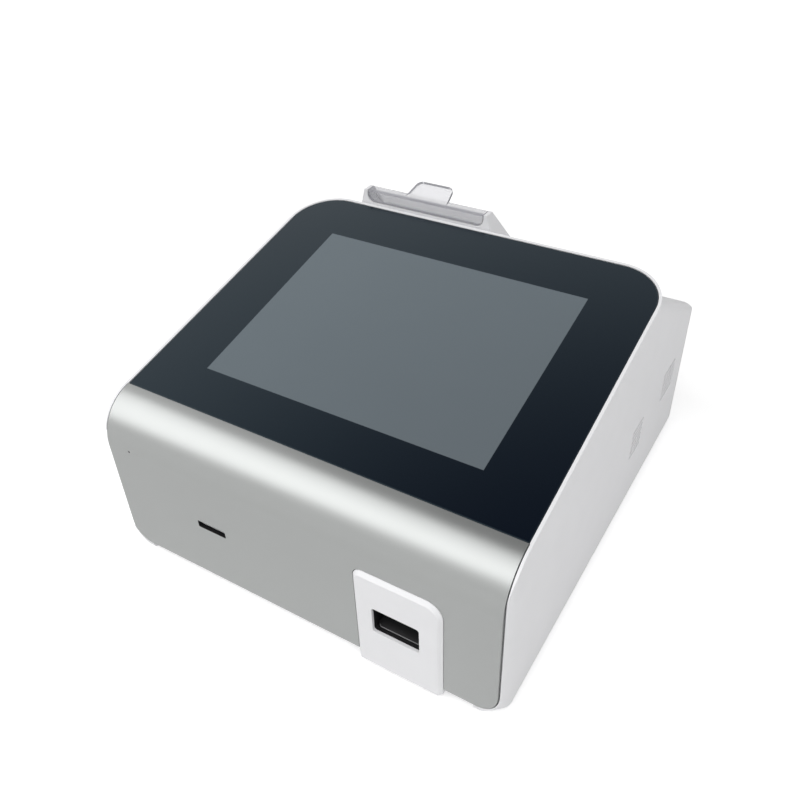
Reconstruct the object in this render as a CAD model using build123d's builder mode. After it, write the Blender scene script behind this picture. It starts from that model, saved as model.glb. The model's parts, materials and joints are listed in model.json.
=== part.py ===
from build123d import *
import os
from math import cos, hypot, radians, sin, tan

os.makedirs("parts", exist_ok=True)

# Body
body_width = 233.0
body_depth = 272.4          # front cover's face to the rear wall
foot_height = 3.0
foot_radius = 9.0
wall = 2.5
floor_wall = 4.0
fit_gap = 0.3               # between fixed pieces that drop into each other
glass_setback = 22.4        # cover's face to the glass's lower edge
glass_front_height = 101.0  # body's underside to the glass's lower edge
tilt = 12.0                 # slope of the glass
front_radius = 26.0
rear_run = 95.0             # crest, where the rear slope starts, to the rear wall
crest_radius = 4.0
rear_slope = 28.5
rear_top_radius = 33.0
rear_bottom_radius = 15.0
chin_radius = 5.0
rear_corner_radius = 12.0   # in plan
shoulder_radius = 6.0       # between the rear slope and the side walls
roll_depth = 10.0           # the side walls roll in towards the cover over this depth
roll_in = 1.9
toe_reach = 22.0            # size of the ball that rounds the lower front corners

# Glass and display
rim = 1.9                   # moulded edge beside and behind the glass
glass_overhang = 19.8       # glass behind the crest
glass_thickness = 3.0
glass_corner = 26.0
screen_width = 162.0        # 8 inch, 4:3
screen_height = 121.5
screen_centre = 86.2        # glass's lower edge to the screen's centre
lcd_border = 10.5
lcd_thickness = 5.6
frame_thickness = 1.5
frame_margin = 16.5         # body's side to the frame's screws
frame_spacing_y = 120.0

# Front cover
cover_thickness = 2.5
cover_gap = 0.6
cover_bottom = 5.8          # above the body's underside
cover_corner = 12.0
pin_hole = (16.9, 76.0)     # from the body's left side and underside
pin_hole_radius = 0.6

# Cassette bezel and slot
bezel_proud = 2.0
bezel_bevel = 1.9           # along the bezel's top and sides
bezel_shift = 0.7           # slot's centre to the bezel's centre
bezel_width = 47.4
bezel_top = 66.0            # above the body's underside
bezel_bottom = 1.5
bezel_corners = (5.0, 9.0)  # top left and top right
bezel_lip = 1.8             # thickness of the bezel round the slot
slot_inset = 54.2           # body's right side to the slot's centre
slot_width = 25.6
slot_height = 17.0
slot_bottom = 27.8          # above the body's underside
slot_corner = 1.5
guide_wall = 2.0
guide_flange = 3.0
guide_length = 19.5

# Card slot
card_inset = 66.5           # body's left side to the slot's centre
card_width = 18.4
card_height = 4.4
card_centre = 44.0          # above the body's underside

# Printer
pod_inset = 79.0            # body's left side to the pod's centre
pod_gap = 1.8               # behind the display plateau
pod_rise = 8.6              # above the glass's rear edge
pod_crest = 7.0             # depth of the flat top
pod_back = 55.6             # slope of the door's back
pod_draft = 16.0
cheek = 2.2                 # side wall beside the door, at the top
door_width = 79.0
door_gap = 0.4
door_thickness = 2.0
door_lip = 7.1              # how far the door reaches down the pod's front
bay_wall = 2.0              # side walls of the paper bay
door_corner = 4.5
hinge_reach = 48.0          # down the back slope from the crest
hinge_depth = 4.0           # below the door's outer face
pin_radius = 1.5
running = 0.05              # radial clearance of a turning fit
knuckle_radius = 3.2
knuckle_length = 5.0
tab_base = 28.2
tab_top = 23.8
tab_length = 14.4
tab_lean = 20.0
tab_corner = 4.0
roll_radius = 14.5
roll_side = 11.5            # door's side to the roll's, on average
roll_shift = -3.5           # from the pod's centre
core_radius = 6.0
roll_clearance = 1.0
roll_depth_below = 36.2     # straight down from the door's outer face to the roll's axis
platen_radius = 4.0
platen_shaft = 1.5
platen_depth = 14.5         # straight down from the door's outer face to the platen's axis
head_thickness = 2.7
sheet = 1.5                 # sheet of the paper cradle and the platen's bracket
spindle_end = 3.0
ear = 2.0                   # thickness of the lugs that hold the platen
ear_radius = 3.4

# Cassette transport
bed_width = 56.0
bed_thickness = 2.0
bed_front_gap = 16.0        # cover's face to the bed
bed_length = 133.0
end_plate = 3.0
end_plate_height = 21.5
rod_radius = 2.0
rod_spacing = 34.0
screw_radius = 2.5
screw_height = 13.5         # above the bed's underside
carriage_width = 24.0
carriage_length = 84.0
carriage_height = 8.0
carriage_rail = 1.7
carriage_floor = 2.0
carriage_setback = 1.5      # cover's face to the carriage's front, at rest
carriage_step = (12.0, 6.0)  # length and depth of the low part of the rails at the front
slider_length = 30.0
slider_width = 46.0
carriage_travel = 60.0
screw_lead = 8.0            # carriage travel for one turn of the lead screw
motor_radius = 10.0
motor_length = 18.0
bridge_length = 36.0
bridge_wall = 2.0
bridge_setback = 123.0      # cover's face to the bridge
head_height = 30.0
head_bore = 5.0
lens_radius = 4.95
lens_height = 2.4

# Boards
board_thickness = 1.6
board_inset = 10.5          # body's left side to the main board
board_gap = 8.3             # main board to the cassette transport
board_length = 96.0
supply_inset = 16.5         # body's left side to the power supply
supply_gap = 25.2           # rear wall to the power supply
supply_width = 66.0
supply_length = 92.0
supply_lift = 5.0

# Base plate and its screws
plate_thickness = 1.5
plate_margin = 7.0
plate_gap = 0.4             # round the plate in its pocket
screw_inset = 3.5
screw_hole = 1.25
screw_shank = 1.2
screw_head = 2.8
boss_radius = 4.0
boss_height = 6.0
foot_inset = 20.0
base_slots = (46.0, 2.2, 5.0, 9)    # length, width, pitch and number in one group
slot_groups = (-30.0, 60.0)

# Vents in the right side: distance from the rear wall, height above the body's underside, length
vents = ((42.5, 51.0, 22.0), (98.5, 45.5, 18.0))
vent_pitch = 3.6
vent_height = 1.6
vent_rows = 6

# Rear panel
panel_thickness = 1.5
window_inset = 21.5         # body's side to the window
window_bottom = 19.0        # above the body's underside
window_top = 54.0
inlet_x = 66.0
inlet_body = (28.0, 20.0)
inlet_flange = (33.0, 25.0)
inlet_mouth = (24.0, 16.0, 4.0)     # width, height and corner cut
inlet_depth = 19.0
rocker_x = 30.0
rocker_body = (14.0, 20.0)
rocker_flange = (18.0, 24.0)
rocker_opening = (11.0, 17.0)
rocker_sink = 0.8           # pivot below the panel's outer face
rocker_pin = 1.2
rocker_swing = 20.0
io_top = 33.0               # top of the connector board
usb_x = -18.0
usb_body = (13.2, 15.6)
network_x = -42.0
network_body = (16.0, 13.4)
serial_x = -72.0
serial_rise = 6.2           # above the connector board
serial_shell = (18.0, 9.0)
lug_depth = 8.0

# Places worked out from the sizes above
y_front = -(body_depth - bezel_proud) / 2
y_rear = y_front + body_depth
z_base = foot_height
half_width = body_width / 2
glass_width = body_width - 2 * rim
frame_spacing_x = body_width - 2 * frame_margin
slot_x = half_width - slot_inset
bezel_x = slot_x + bezel_shift
card_x = card_inset - half_width
pod_x = pod_inset - half_width
roll_width = door_width - 2 * roll_side
window_half = half_width - window_inset
glass_y = y_front + glass_setback
glass_z = z_base + glass_front_height
rise = tan(radians(tilt))
fall = tan(radians(rear_slope))
crest_setback = body_depth - glass_setback - rear_run
crest_y = glass_y + crest_setback
crest_z = glass_z + crest_setback * rise
glass_length = (crest_setback + glass_overhang) / cos(radians(tilt))
plateau_rear = glass_y + glass_length * cos(radians(tilt)) + rim
seat_y = y_front + cover_thickness + fit_gap     # front wall's outer face, behind the cover
inner_front = seat_y + wall
inner_rear = y_rear - wall
bezel_face = y_front - bezel_proud
guide_front = bezel_face + bezel_lip + fit_gap
deck_z = z_base + plate_thickness                # top of the base plate
over = 5.0                                       # how far a cutting tool runs past a surface
glass_plane = Plane(origin=(0, glass_y, glass_z), x_dir=(1, 0, 0),
                    z_dir=(0, -sin(radians(tilt)), cos(radians(tilt))))
across_slope = Plane(origin=(0, crest_y, crest_z), x_dir=(1, 0, 0),
                     z_dir=(0, -cos(radians(rear_slope)), sin(radians(rear_slope))))


def facing(y):
    """Front view plane at depth y: sketches read X across and Z up."""
    return Plane.XZ.offset(-y)


def slope_z(y):
    """Height of the rear slope's outer face at depth y."""
    return crest_z - (y - crest_y) * fall


def corner(sketch, u, v):
    """The sketch's vertex nearest to a point."""
    return sketch.vertices().sort_by_distance((u, v, 0))[0]


def block(x, y, z, mode=Mode.ADD):
    """A box between pairs of X, Y and Z values."""
    with Locations(((x[0] + x[1]) / 2, (y[0] + y[1]) / 2, (z[0] + z[1]) / 2)):
        Box(x[1] - x[0], y[1] - y[0], z[1] - z[0], mode=mode)


def rod(centre, radius, length, axis="Z", mode=Mode.ADD):
    """A cylinder about a centre point, along X, Y or Z."""
    turn = {"X": (0, 90, 0), "Y": (90, 0, 0), "Z": (0, 0, 0)}[axis]
    with Locations(Location(centre, turn)):
        Cylinder(radius, length, mode=mode)


def side_profile(inset, top_inset, front_inset, floor_inset):
    """The body's side outline in Y and Z, drawn in by the given amounts, with each corner's radius."""
    y0 = y_front + front_inset
    y1 = y_rear - inset
    top_drop = top_inset / cos(radians(tilt))
    slope_drop = inset / cos(radians(rear_slope))
    peak_y = crest_y + (top_drop - slope_drop) / (rise + fall)
    peak_z = crest_z + (peak_y - crest_y) * rise - top_drop
    floor_z = z_base + floor_inset
    return [
        (y0, floor_z, max(chin_radius - front_inset, 0.5)),
        (y0, glass_z + (y0 - glass_y) * rise - top_drop, front_radius - max(front_inset, top_inset)),
        (peak_y, peak_z, crest_radius),
        (y1, slope_z(y1) - slope_drop, rear_top_radius - inset),
        (y1, floor_z, rear_bottom_radius - max(inset, floor_inset)),
    ]


def toe_cut(inset):
    """What the two balls leave outside them at the lower front corners."""
    ball = hypot(toe_reach, toe_reach + seat_y - y_front) - inset
    with BuildPart() as cut:
        for side in (-1, 1):
            x = side * (half_width - toe_reach)
            block(sorted((x, side * (half_width + over))), (y_front - over, seat_y + toe_reach),
                  (z_base - over, z_base + toe_reach))
            with Locations((x, seat_y + toe_reach, z_base + toe_reach)):
                Sphere(ball, mode=Mode.SUBTRACT)
    return cut.part


def body_form(inset, top_inset, front_inset, floor_inset):
    """The whole body as a solid: side outline, raised display plateau, plan outline, lower corners."""
    profile = side_profile(inset, top_inset, front_inset, floor_inset)
    width = body_width - 2 * inset
    rear = plateau_rear - inset
    front = crest_y - crest_setback / 2
    with BuildPart() as form:
        with BuildSketch(Plane.YZ) as side:
            with BuildLine():
                Polyline([(y, z) for y, z, r in profile], close=True)
            make_face()
            for y, z, r in profile:
                fillet(corner(side, y, z), r)
        extrude(amount=width / 2, both=True)
        shoulder = shoulder_radius - inset
        with BuildSketch(across_slope.offset(glass_overhang)):
            for side in (-1, 1):
                with Locations((side * (width / 2 - shoulder + over), -inset)):
                    Rectangle(2 * over, 2 * shoulder)
                with Locations((side * (width / 2 - shoulder), -inset - shoulder)):
                    Circle(shoulder, mode=Mode.SUBTRACT)
        extrude(amount=-body_depth, mode=Mode.SUBTRACT)
        with BuildSketch(Plane.XY.offset(slope_z(y_rear))) as plan:
            with Locations((0, (front + rear) / 2)):
                Rectangle(width, rear - front)
            fillet(plan.vertices().group_by(Axis.Y)[-1], glass_corner + rim - inset)
        extrude(amount=crest_z - slope_z(y_rear) + glass_thickness * over)
        with BuildSketch(glass_plane.offset(-top_inset)):
            with Locations((0, glass_length / 2)):
                Rectangle(2 * body_width, 2 * body_depth)
        extrude(amount=body_width, mode=Mode.SUBTRACT)
        y0 = y_front - over
        y1 = y_rear - inset
        with BuildSketch(Plane.XY) as outline:
            with BuildLine():
                Line((-width / 2 + roll_in, y0 + over), (-width / 2 + roll_in, y0))
                Line((-width / 2 + roll_in, y0), (width / 2 - roll_in, y0))
                Line((width / 2 - roll_in, y0), (width / 2 - roll_in, y0 + over))
                ThreePointArc((width / 2 - roll_in, y0 + over),
                              (width / 2 - roll_in / 4, y0 + over + roll_depth / 2),
                              (width / 2, y0 + over + roll_depth))
                Line((width / 2, y0 + over + roll_depth), (width / 2, y1))
                Line((width / 2, y1), (-width / 2, y1))
                Line((-width / 2, y1), (-width / 2, y0 + over + roll_depth))
                ThreePointArc((-width / 2, y0 + over + roll_depth),
                              (-width / 2 + roll_in / 4, y0 + over + roll_depth / 2),
                              (-width / 2 + roll_in, y0 + over))
            make_face()
            fillet(outline.vertices().group_by(Axis.Y)[-1], rear_corner_radius - inset)
        extrude(amount=2 * crest_z, mode=Mode.INTERSECT)
        add(toe_cut(inset), mode=Mode.SUBTRACT)
    return form.part


def slab(plane, x, y, thickness, mode=Mode.ADD):
    """A rectangle between X and Y pairs on a plane, raised by a thickness."""
    with BuildSketch(plane) as area:
        with Locations(((x[0] + x[1]) / 2, (y[0] + y[1]) / 2)):
            Rectangle(x[1] - x[0], y[1] - y[0])
    extrude(area.sketch, amount=thickness, mode=mode)


# Whole body and the space inside it
outer_form = body_form(0, 0, 0, 0)
inner_form = body_form(wall, glass_thickness + wall, inner_front - y_front, floor_wall)


def cover_zone(grow, depth):
    """The space of the front cover: the body's outer skin to a depth, grown sideways by a gap."""
    margin = 1.0 if grow else 0.0
    with BuildPart() as zone:
        add(body_form(-margin, -margin, -margin, -margin) if grow else outer_form)
        add(body_form(-2.0, depth, depth, -2.0), mode=Mode.SUBTRACT)
        floor = z_base + cover_bottom - grow
        half = glass_width / 2 + grow
        with BuildSketch(facing(y_front - over)) as outline:
            with Locations((0, (floor + glass_z) / 2 + over)):
                Rectangle(2 * half, glass_z - floor + 2 * over)
            fillet(outline.vertices().group_by(Axis.Y)[0], cover_corner + grow)
        extrude(amount=-(over + glass_setback), mode=Mode.INTERSECT)
        slab(glass_plane.offset(-over), (-half, half), (-fit_gap, body_depth), 3 * over, Mode.SUBTRACT)
    return zone.part


def bezel_outline(y, grow):
    """The cassette bezel's outline on a front view plane."""
    with BuildSketch(facing(y)) as outline:
        with Locations((bezel_x, z_base + (bezel_bottom + bezel_top) / 2)):
            Rectangle(bezel_width + 2 * grow, bezel_top - bezel_bottom + 2 * grow)
        for side, radius in zip((-1, 1), bezel_corners):
            fillet(corner(outline, bezel_x + side * bezel_width / 2, z_base + bezel_top), radius + grow)
    return outline.sketch


def card_hole(grow):
    """The card slot's outline, seen from the front."""
    with Locations((card_x, z_base + card_centre)):
        RectangleRounded(card_width + 2 * grow, card_height + 2 * grow, 0.6 + grow)


def slot_hole(grow):
    """The cassette slot's outline, seen from the front."""
    with Locations((slot_x, z_base + slot_bottom + slot_height / 2)):
        RectangleRounded(slot_width + 2 * grow, slot_height + 2 * grow, slot_corner + grow)


# Printer pod, its door and the paper, worked out from the body's rear slope
slope_plane = Plane(origin=(0, crest_y, crest_z), x_dir=(1, 0, 0),
                    z_dir=(0, sin(radians(rear_slope)), cos(radians(rear_slope))))
back_fall = tan(radians(pod_back))
along_back = (cos(radians(pod_back)), -sin(radians(pod_back)))
into_pod = (-sin(radians(pod_back)), -cos(radians(pod_back)))
pod_front = plateau_rear + pod_gap
pod_top = glass_z + glass_length * sin(radians(tilt)) + pod_rise
pod_edge = pod_front + pod_crest
pod_rear = (pod_top + back_fall * pod_edge - crest_z - fall * crest_y) / (back_fall - fall)
slope_wall = wall / cos(radians(rear_slope))
hinge_y = pod_edge + hinge_reach * along_back[0] + hinge_depth * into_pod[0]
hinge_z = pod_top + hinge_reach * along_back[1] + hinge_depth * into_pod[1]
bay_half = door_width / 2 + door_gap
bay_front = pod_front + wall
bay_rear = hinge_y + hinge_depth + knuckle_radius / 2 - 0.4
lip_z = pod_top - door_lip
roll_x = pod_x + roll_shift
roll_y = bay_front + fit_gap + sheet + roll_clearance + roll_radius
roll_z = pod_top - (roll_y - pod_edge) * back_fall - roll_depth_below
platen_y = bay_front + fit_gap + sheet + head_thickness + fit_gap + platen_radius
platen_z = pod_top - (platen_y - pod_edge) * back_fall - platen_depth

# Display
lcd_width = screen_width + 2 * lcd_border
lcd_height = screen_height + 2 * lcd_border - 1.5
frame_depth = glass_thickness + lcd_thickness

# Base plate and the housing's floor
plate_half = half_width - plate_margin
plate_y = (y_front + plate_margin + 2, y_rear - rear_bottom_radius - 2)
screw_places = [(x, y) for x in (-plate_half + screw_inset, plate_half - screw_inset)
                for y in (plate_y[0] + screw_inset, sum(plate_y) / 2, plate_y[1] - screw_inset)]

with BuildPart() as housing:
    add(outer_form)
    add(inner_form, mode=Mode.SUBTRACT)
    add(cover_zone(cover_gap, cover_thickness + fit_gap), mode=Mode.SUBTRACT)
    block((cover_corner - glass_width / 2, glass_width / 2 - cover_corner), (y_front - over, seat_y),
          (z_base - over, z_base + cover_bottom + over), Mode.SUBTRACT)
    with BuildSketch(facing(y_front - over)):
        slot_hole(guide_wall + fit_gap)
        card_hole(0)
    extrude(amount=-(inner_front - y_front + 2 * over), mode=Mode.SUBTRACT)
    with BuildSketch(glass_plane) as pocket:
        with Locations((0, (glass_length + fit_gap - cover_thickness) / 2)):
            Rectangle(glass_width + 2 * fit_gap, glass_length + fit_gap + cover_thickness)
        fillet(pocket.vertices().group_by(Axis.Y)[-1], glass_corner + fit_gap)
    extrude(amount=-glass_thickness, mode=Mode.SUBTRACT)
    with BuildSketch(glass_plane):
        with Locations((0, screen_centre)):
            Rectangle(lcd_width + 2, lcd_height + 2)
    extrude(amount=-(glass_thickness + wall + 1), mode=Mode.SUBTRACT)
    with BuildSketch(glass_plane.offset(-frame_depth)):
        with Locations((0, screen_centre)):
            with GridLocations(frame_spacing_x, frame_spacing_y, 2, 2):
                RegularPolygon(boss_radius, 6)
                Circle(screw_hole, mode=Mode.SUBTRACT)
    extrude(amount=lcd_thickness - wall)
    slab(Plane.XY.offset(z_base - 1), (-plate_half, plate_half), plate_y, deck_z - z_base + 1, Mode.SUBTRACT)
    slab(Plane.XY.offset(z_base), (-plate_half + plate_margin, plate_half - plate_margin),
         (plate_y[0] + plate_margin, plate_y[1] - plate_margin), floor_wall + 1, Mode.SUBTRACT)
    with BuildSketch(Plane.XY.offset(z_base + floor_wall)):
        with Locations(*screw_places):
            RegularPolygon(boss_radius, 6)
    extrude(amount=boss_height)
    with BuildSketch(Plane.XY.offset(deck_z)):
        with Locations(*screw_places):
            Circle(screw_hole)
    extrude(amount=floor_wall + boss_height - screw_hole, mode=Mode.SUBTRACT)
    block((-window_half, window_half), (inner_rear - over, y_rear + over),
          (z_base + window_bottom, z_base + window_top), Mode.SUBTRACT)
    block((pod_x - bay_half - bay_wall - fit_gap, pod_x + bay_half + bay_wall + fit_gap),
          (bay_front, bay_rear), (slope_z(bay_rear) - 2 * over, pod_top), Mode.SUBTRACT)
    for vent_back, vent_up, vent_length in vents:
        with BuildSketch(Plane.YZ.offset(half_width - wall - 1)):
            with Locations((y_rear - vent_back, z_base + vent_up)):
                with GridLocations(0, vent_pitch, 1, vent_rows):
                    Rectangle(vent_length, vent_height)
        extrude(amount=wall + 2, mode=Mode.SUBTRACT)
housing.part.label = "housing"
export_step(housing.part, "parts/housing.step")

with BuildPart() as front_cover:
    add(cover_zone(0, cover_thickness))
    extrude(bezel_outline(y_front - over, fit_gap), amount=-2 * over, mode=Mode.SUBTRACT)
    with BuildSketch(facing(y_front - over)):
        card_hole(0)
        with Locations((pin_hole[0] - half_width, z_base + pin_hole[1])):
            Circle(pin_hole_radius)
    extrude(amount=-2 * over, mode=Mode.SUBTRACT)
front_cover.part.label = "front_cover"
export_step(front_cover.part, "parts/front_cover.step")

with BuildPart() as touch_glass:
    with BuildSketch(glass_plane) as pane:
        with Locations((0, glass_length / 2)):
            Rectangle(glass_width, glass_length)
        fillet(pane.vertices().group_by(Axis.Y)[-1], glass_corner)
    extrude(amount=-glass_thickness)
    chamfer(touch_glass.faces().sort_by(Axis.Z)[-1].edges(), 0.3)
touch_glass.part.label = "touch_glass"
export_step(touch_glass.part, "parts/touch_glass.step")

with BuildPart() as cassette_bezel:
    extrude(bezel_outline(seat_y, 0), amount=seat_y - bezel_face)
    chamfer(cassette_bezel.faces().sort_by(Axis.Y)[0].edges().sort_by(Axis.Z)[1:], bezel_bevel)
    with BuildSketch(facing(seat_y + 1)):
        slot_hole(guide_wall + fit_gap)
    extrude(amount=seat_y + 1 - bezel_face - bezel_lip, mode=Mode.SUBTRACT)
    with BuildSketch(facing(seat_y)):
        slot_hole(0)
    extrude(amount=seat_y - bezel_face + 1, mode=Mode.SUBTRACT)
cassette_bezel.part.label = "cassette_bezel"
export_step(cassette_bezel.part, "parts/cassette_bezel.step")

with BuildPart() as cassette_guide:
    with BuildSketch(facing(guide_front)):
        slot_hole(guide_wall)
    extrude(amount=-guide_length)
    with BuildSketch(facing(inner_front)):
        slot_hole(guide_wall + guide_flange)
    extrude(amount=-guide_wall)
    with BuildSketch(facing(guide_front - 1)):
        slot_hole(0)
    extrude(amount=-(guide_length + 2), mode=Mode.SUBTRACT)
cassette_guide.part.label = "cassette_guide"
export_step(cassette_guide.part, "parts/cassette_guide.step")

with BuildPart() as lcd_module:
    with BuildSketch(glass_plane.offset(-frame_depth)):
        with Locations((0, screen_centre)):
            RectangleRounded(lcd_width, lcd_height, 1.5)
    extrude(amount=lcd_thickness)
lcd_module.part.label = "lcd_module"
export_step(lcd_module.part, "parts/lcd_module.step")

with BuildPart() as display_frame:
    with BuildSketch(glass_plane.offset(-frame_depth)):
        with Locations((0, screen_centre)):
            Rectangle(frame_spacing_x + 12, lcd_height + 6)
            Rectangle(lcd_width - 30, lcd_height - 30, mode=Mode.SUBTRACT)
            with GridLocations(frame_spacing_x, frame_spacing_y, 2, 2):
                Circle(1.6, mode=Mode.SUBTRACT)
    extrude(amount=-frame_thickness)
display_frame.part.label = "display_frame"
export_step(display_frame.part, "parts/display_frame.step")

with BuildPart() as display_screws:
    with BuildSketch(glass_plane.offset(-frame_depth - frame_thickness)):
        with Locations((0, screen_centre)):
            with GridLocations(frame_spacing_x, frame_spacing_y, 2, 2):
                RegularPolygon(screw_head, 6)
    extrude(amount=-1.8)
    with BuildSketch(glass_plane.offset(-frame_depth - frame_thickness)):
        with Locations((0, screen_centre)):
            with GridLocations(frame_spacing_x, frame_spacing_y, 2, 2):
                Circle(screw_shank)
    extrude(amount=frame_thickness + lcd_thickness - wall)
display_screws.part.label = "display_screws"
export_step(display_screws.part, "parts/display_screws.step")

# Base plate, feet and screws
foot_places = [(x, y) for x in (foot_inset - plate_half, plate_half - foot_inset)
               for y in (plate_y[0] + foot_inset, plate_y[1] - foot_inset)]

with BuildPart() as base_plate:
    slab(Plane.XY.offset(z_base), (plate_gap - plate_half, plate_half - plate_gap),
         (plate_y[0] + plate_gap, plate_y[1] - plate_gap), plate_thickness)
    with BuildSketch(Plane.XY.offset(z_base)):
        with Locations(*screw_places):
            Circle(1.7)
        with Locations(*[(x, plate_y[1] - 60) for x in slot_groups]):
            with GridLocations(0, base_slots[2], 1, base_slots[3]):
                Rectangle(base_slots[0], base_slots[1])
    extrude(amount=plate_thickness, mode=Mode.SUBTRACT)
base_plate.part.label = "base_plate"
export_step(base_plate.part, "parts/base_plate.step")

with BuildPart() as rubber_feet:
    with BuildSketch(Plane.XY.offset(z_base)):
        with Locations(*foot_places):
            Circle(foot_radius)
    extrude(amount=-foot_height, taper=8)
rubber_feet.part.label = "rubber_feet"
export_step(rubber_feet.part, "parts/rubber_feet.step")

with BuildPart() as base_screws:
    with BuildSketch(Plane.XY.offset(z_base)):
        with Locations(*screw_places):
            RegularPolygon(screw_head, 6)
    extrude(amount=-1.6)
    with BuildSketch(Plane.XY.offset(z_base)):
        with Locations(*screw_places):
            Circle(screw_shank)
    extrude(amount=floor_wall + boss_height - 2)
base_screws.part.label = "base_screws"
export_step(base_screws.part, "parts/base_screws.step")

# Cassette transport: bed, rods, lead screw, slider and carriage
bed_y = (y_front + bed_front_gap, y_front + bed_front_gap + bed_length)
bed_top = deck_z + bed_thickness
screw_z = deck_z + screw_height
bridge_y = (y_front + bridge_setback, y_front + bridge_setback + bridge_length)
bridge_top = z_base + slot_bottom + 13.2
carriage_y = (y_front + carriage_setback, y_front + carriage_setback + carriage_length)
carriage_z = z_base + slot_bottom + 0.8
slider_y = (bed_y[0] + end_plate + 11, bed_y[0] + end_plate + 11 + slider_length)
rear_plate_y = (bed_y[1] - end_plate, bed_y[1])

with BuildPart() as transport_bed:
    slab(Plane.XY.offset(deck_z), (slot_x - bed_width / 2, slot_x + bed_width / 2),
         (bed_y[0], bridge_y[1]), bed_thickness)
    for plate_front in (bed_y[0], rear_plate_y[0]):
        with BuildSketch(facing(plate_front)):
            with Locations((slot_x, deck_z + end_plate_height / 2)):
                Rectangle(bed_width - 12, end_plate_height)
            with Locations((slot_x - rod_spacing / 2, screw_z), (slot_x + rod_spacing / 2, screw_z)):
                Circle(rod_radius, mode=Mode.SUBTRACT)
            with Locations((slot_x, screw_z)):
                Circle(screw_radius + running, mode=Mode.SUBTRACT)
        extrude(amount=-end_plate)
transport_bed.part.label = "transport_bed"
export_step(transport_bed.part, "parts/transport_bed.step")

with BuildPart() as guide_rods:
    for x in (slot_x - rod_spacing / 2, slot_x + rod_spacing / 2):
        rod((x, sum(bed_y) / 2, screw_z), rod_radius, bed_length, "Y")
guide_rods.part.label = "guide_rods"
export_step(guide_rods.part, "parts/guide_rods.step")

with BuildPart() as lead_screw:
    rod((slot_x, (bed_y[0] + bed_y[1] + 4) / 2, screw_z), screw_radius, bed_length + 4, "Y")
    rod((slot_x, bed_y[0] - 1.3, screw_z), screw_radius + 1.5, 2, "Y")
lead_screw.part.label = "lead_screw"
export_step(lead_screw.part, "parts/lead_screw.step")

with BuildPart() as transport_motor:
    rod((slot_x, bed_y[1] + motor_length / 2, screw_z), motor_radius, motor_length, "Y")
    chamfer(transport_motor.edges().filter_by(GeomType.CIRCLE).sort_by(Axis.Y)[-1], 1)
    with BuildSketch(facing(bed_y[1])):
        with Locations((slot_x, screw_z)):
            Rectangle(2 * motor_radius + 14, 8)
    extrude(amount=-1.2)
    block((slot_x - 7, slot_x + 7), (bed_y[1] + 4, bed_y[1] + 12), (screw_z, screw_z + motor_radius + 2))
    rod((slot_x, bed_y[1] + 3.5, screw_z), screw_radius + running, 7, "Y", Mode.SUBTRACT)
transport_motor.part.label = "transport_motor"
export_step(transport_motor.part, "parts/transport_motor.step")

with BuildPart() as slider_block:
    with BuildSketch(facing(slider_y[0])):
        with Locations((slot_x, screw_z)):
            RectangleRounded(slider_width, 11, 2)
        with Locations((slot_x, (screw_z + carriage_z) / 2)):
            Rectangle(carriage_width - 4, carriage_z - screw_z)
        with Locations((slot_x - rod_spacing / 2, screw_z), (slot_x + rod_spacing / 2, screw_z)):
            Circle(rod_radius + running, mode=Mode.SUBTRACT)
        with Locations((slot_x, screw_z)):
            Circle(screw_radius + 1.8, mode=Mode.SUBTRACT)
    extrude(amount=-slider_length)
slider_block.part.label = "slider_block"
export_step(slider_block.part, "parts/slider_block.step")

with BuildPart() as screw_nut:
    with BuildSketch(facing(slider_y[0])):
        with Locations((slot_x, screw_z)):
            Circle(screw_radius + 1.8)
            Circle(screw_radius + running, mode=Mode.SUBTRACT)
    extrude(amount=-slider_length / 2)
    with BuildSketch(facing(slider_y[0])):
        with Locations((slot_x, screw_z)):
            Circle(screw_radius + 2.8)
            Circle(screw_radius + running, mode=Mode.SUBTRACT)
    extrude(amount=2)
screw_nut.part.label = "screw_nut"
export_step(screw_nut.part, "parts/screw_nut.step")

with BuildPart() as carriage_tray:
    with BuildSketch(Plane.XY.offset(carriage_z)):
        with Locations((slot_x, sum(carriage_y) / 2)):
            RectangleRounded(carriage_width, carriage_length, 2)
    extrude(amount=carriage_height)
    block((slot_x - carriage_width / 2 + carriage_rail, slot_x + carriage_width / 2 - carriage_rail),
          (carriage_y[0] - 1, carriage_y[1] - 4),
          (carriage_z + carriage_floor, carriage_z + carriage_height + 1), Mode.SUBTRACT)
    block((slot_x - carriage_width / 2, slot_x + carriage_width / 2),
          (carriage_y[0] - 1, carriage_y[0] + carriage_step[0]),
          (carriage_z + carriage_height - carriage_step[1], carriage_z + carriage_height + 1), Mode.SUBTRACT)
    with BuildSketch(Plane.YZ.offset(slot_x)) as ramp:
        with BuildLine():
            Polyline([(carriage_y[0] - 1, carriage_z + carriage_floor - 1.5),
                      (carriage_y[0] + 4, carriage_z + carriage_floor + 0.001),
                      (carriage_y[0] - 1, carriage_z + carriage_floor + 0.001)], close=True)
        make_face()
    extrude(amount=carriage_width / 2 - carriage_rail, both=True, mode=Mode.SUBTRACT)
carriage_tray.part.label = "carriage_tray"
export_step(carriage_tray.part, "parts/carriage_tray.step")

with BuildPart() as head_bridge:
    with BuildSketch(facing(bridge_y[0])):
        with Locations((slot_x, (bed_top + bridge_top) / 2)):
            Rectangle(bed_width, bridge_top - bed_top)
        with Locations((slot_x, (bed_top + bridge_top) / 2 - bridge_wall)):
            Rectangle(bed_width - 2 * bridge_wall, bridge_top - bed_top, mode=Mode.SUBTRACT)
    extrude(amount=-bridge_length)
    rod((slot_x, sum(bridge_y) / 2, bridge_top - 1), 6, 4, "Z", Mode.SUBTRACT)
head_bridge.part.label = "head_bridge"
export_step(head_bridge.part, "parts/head_bridge.step")

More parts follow.
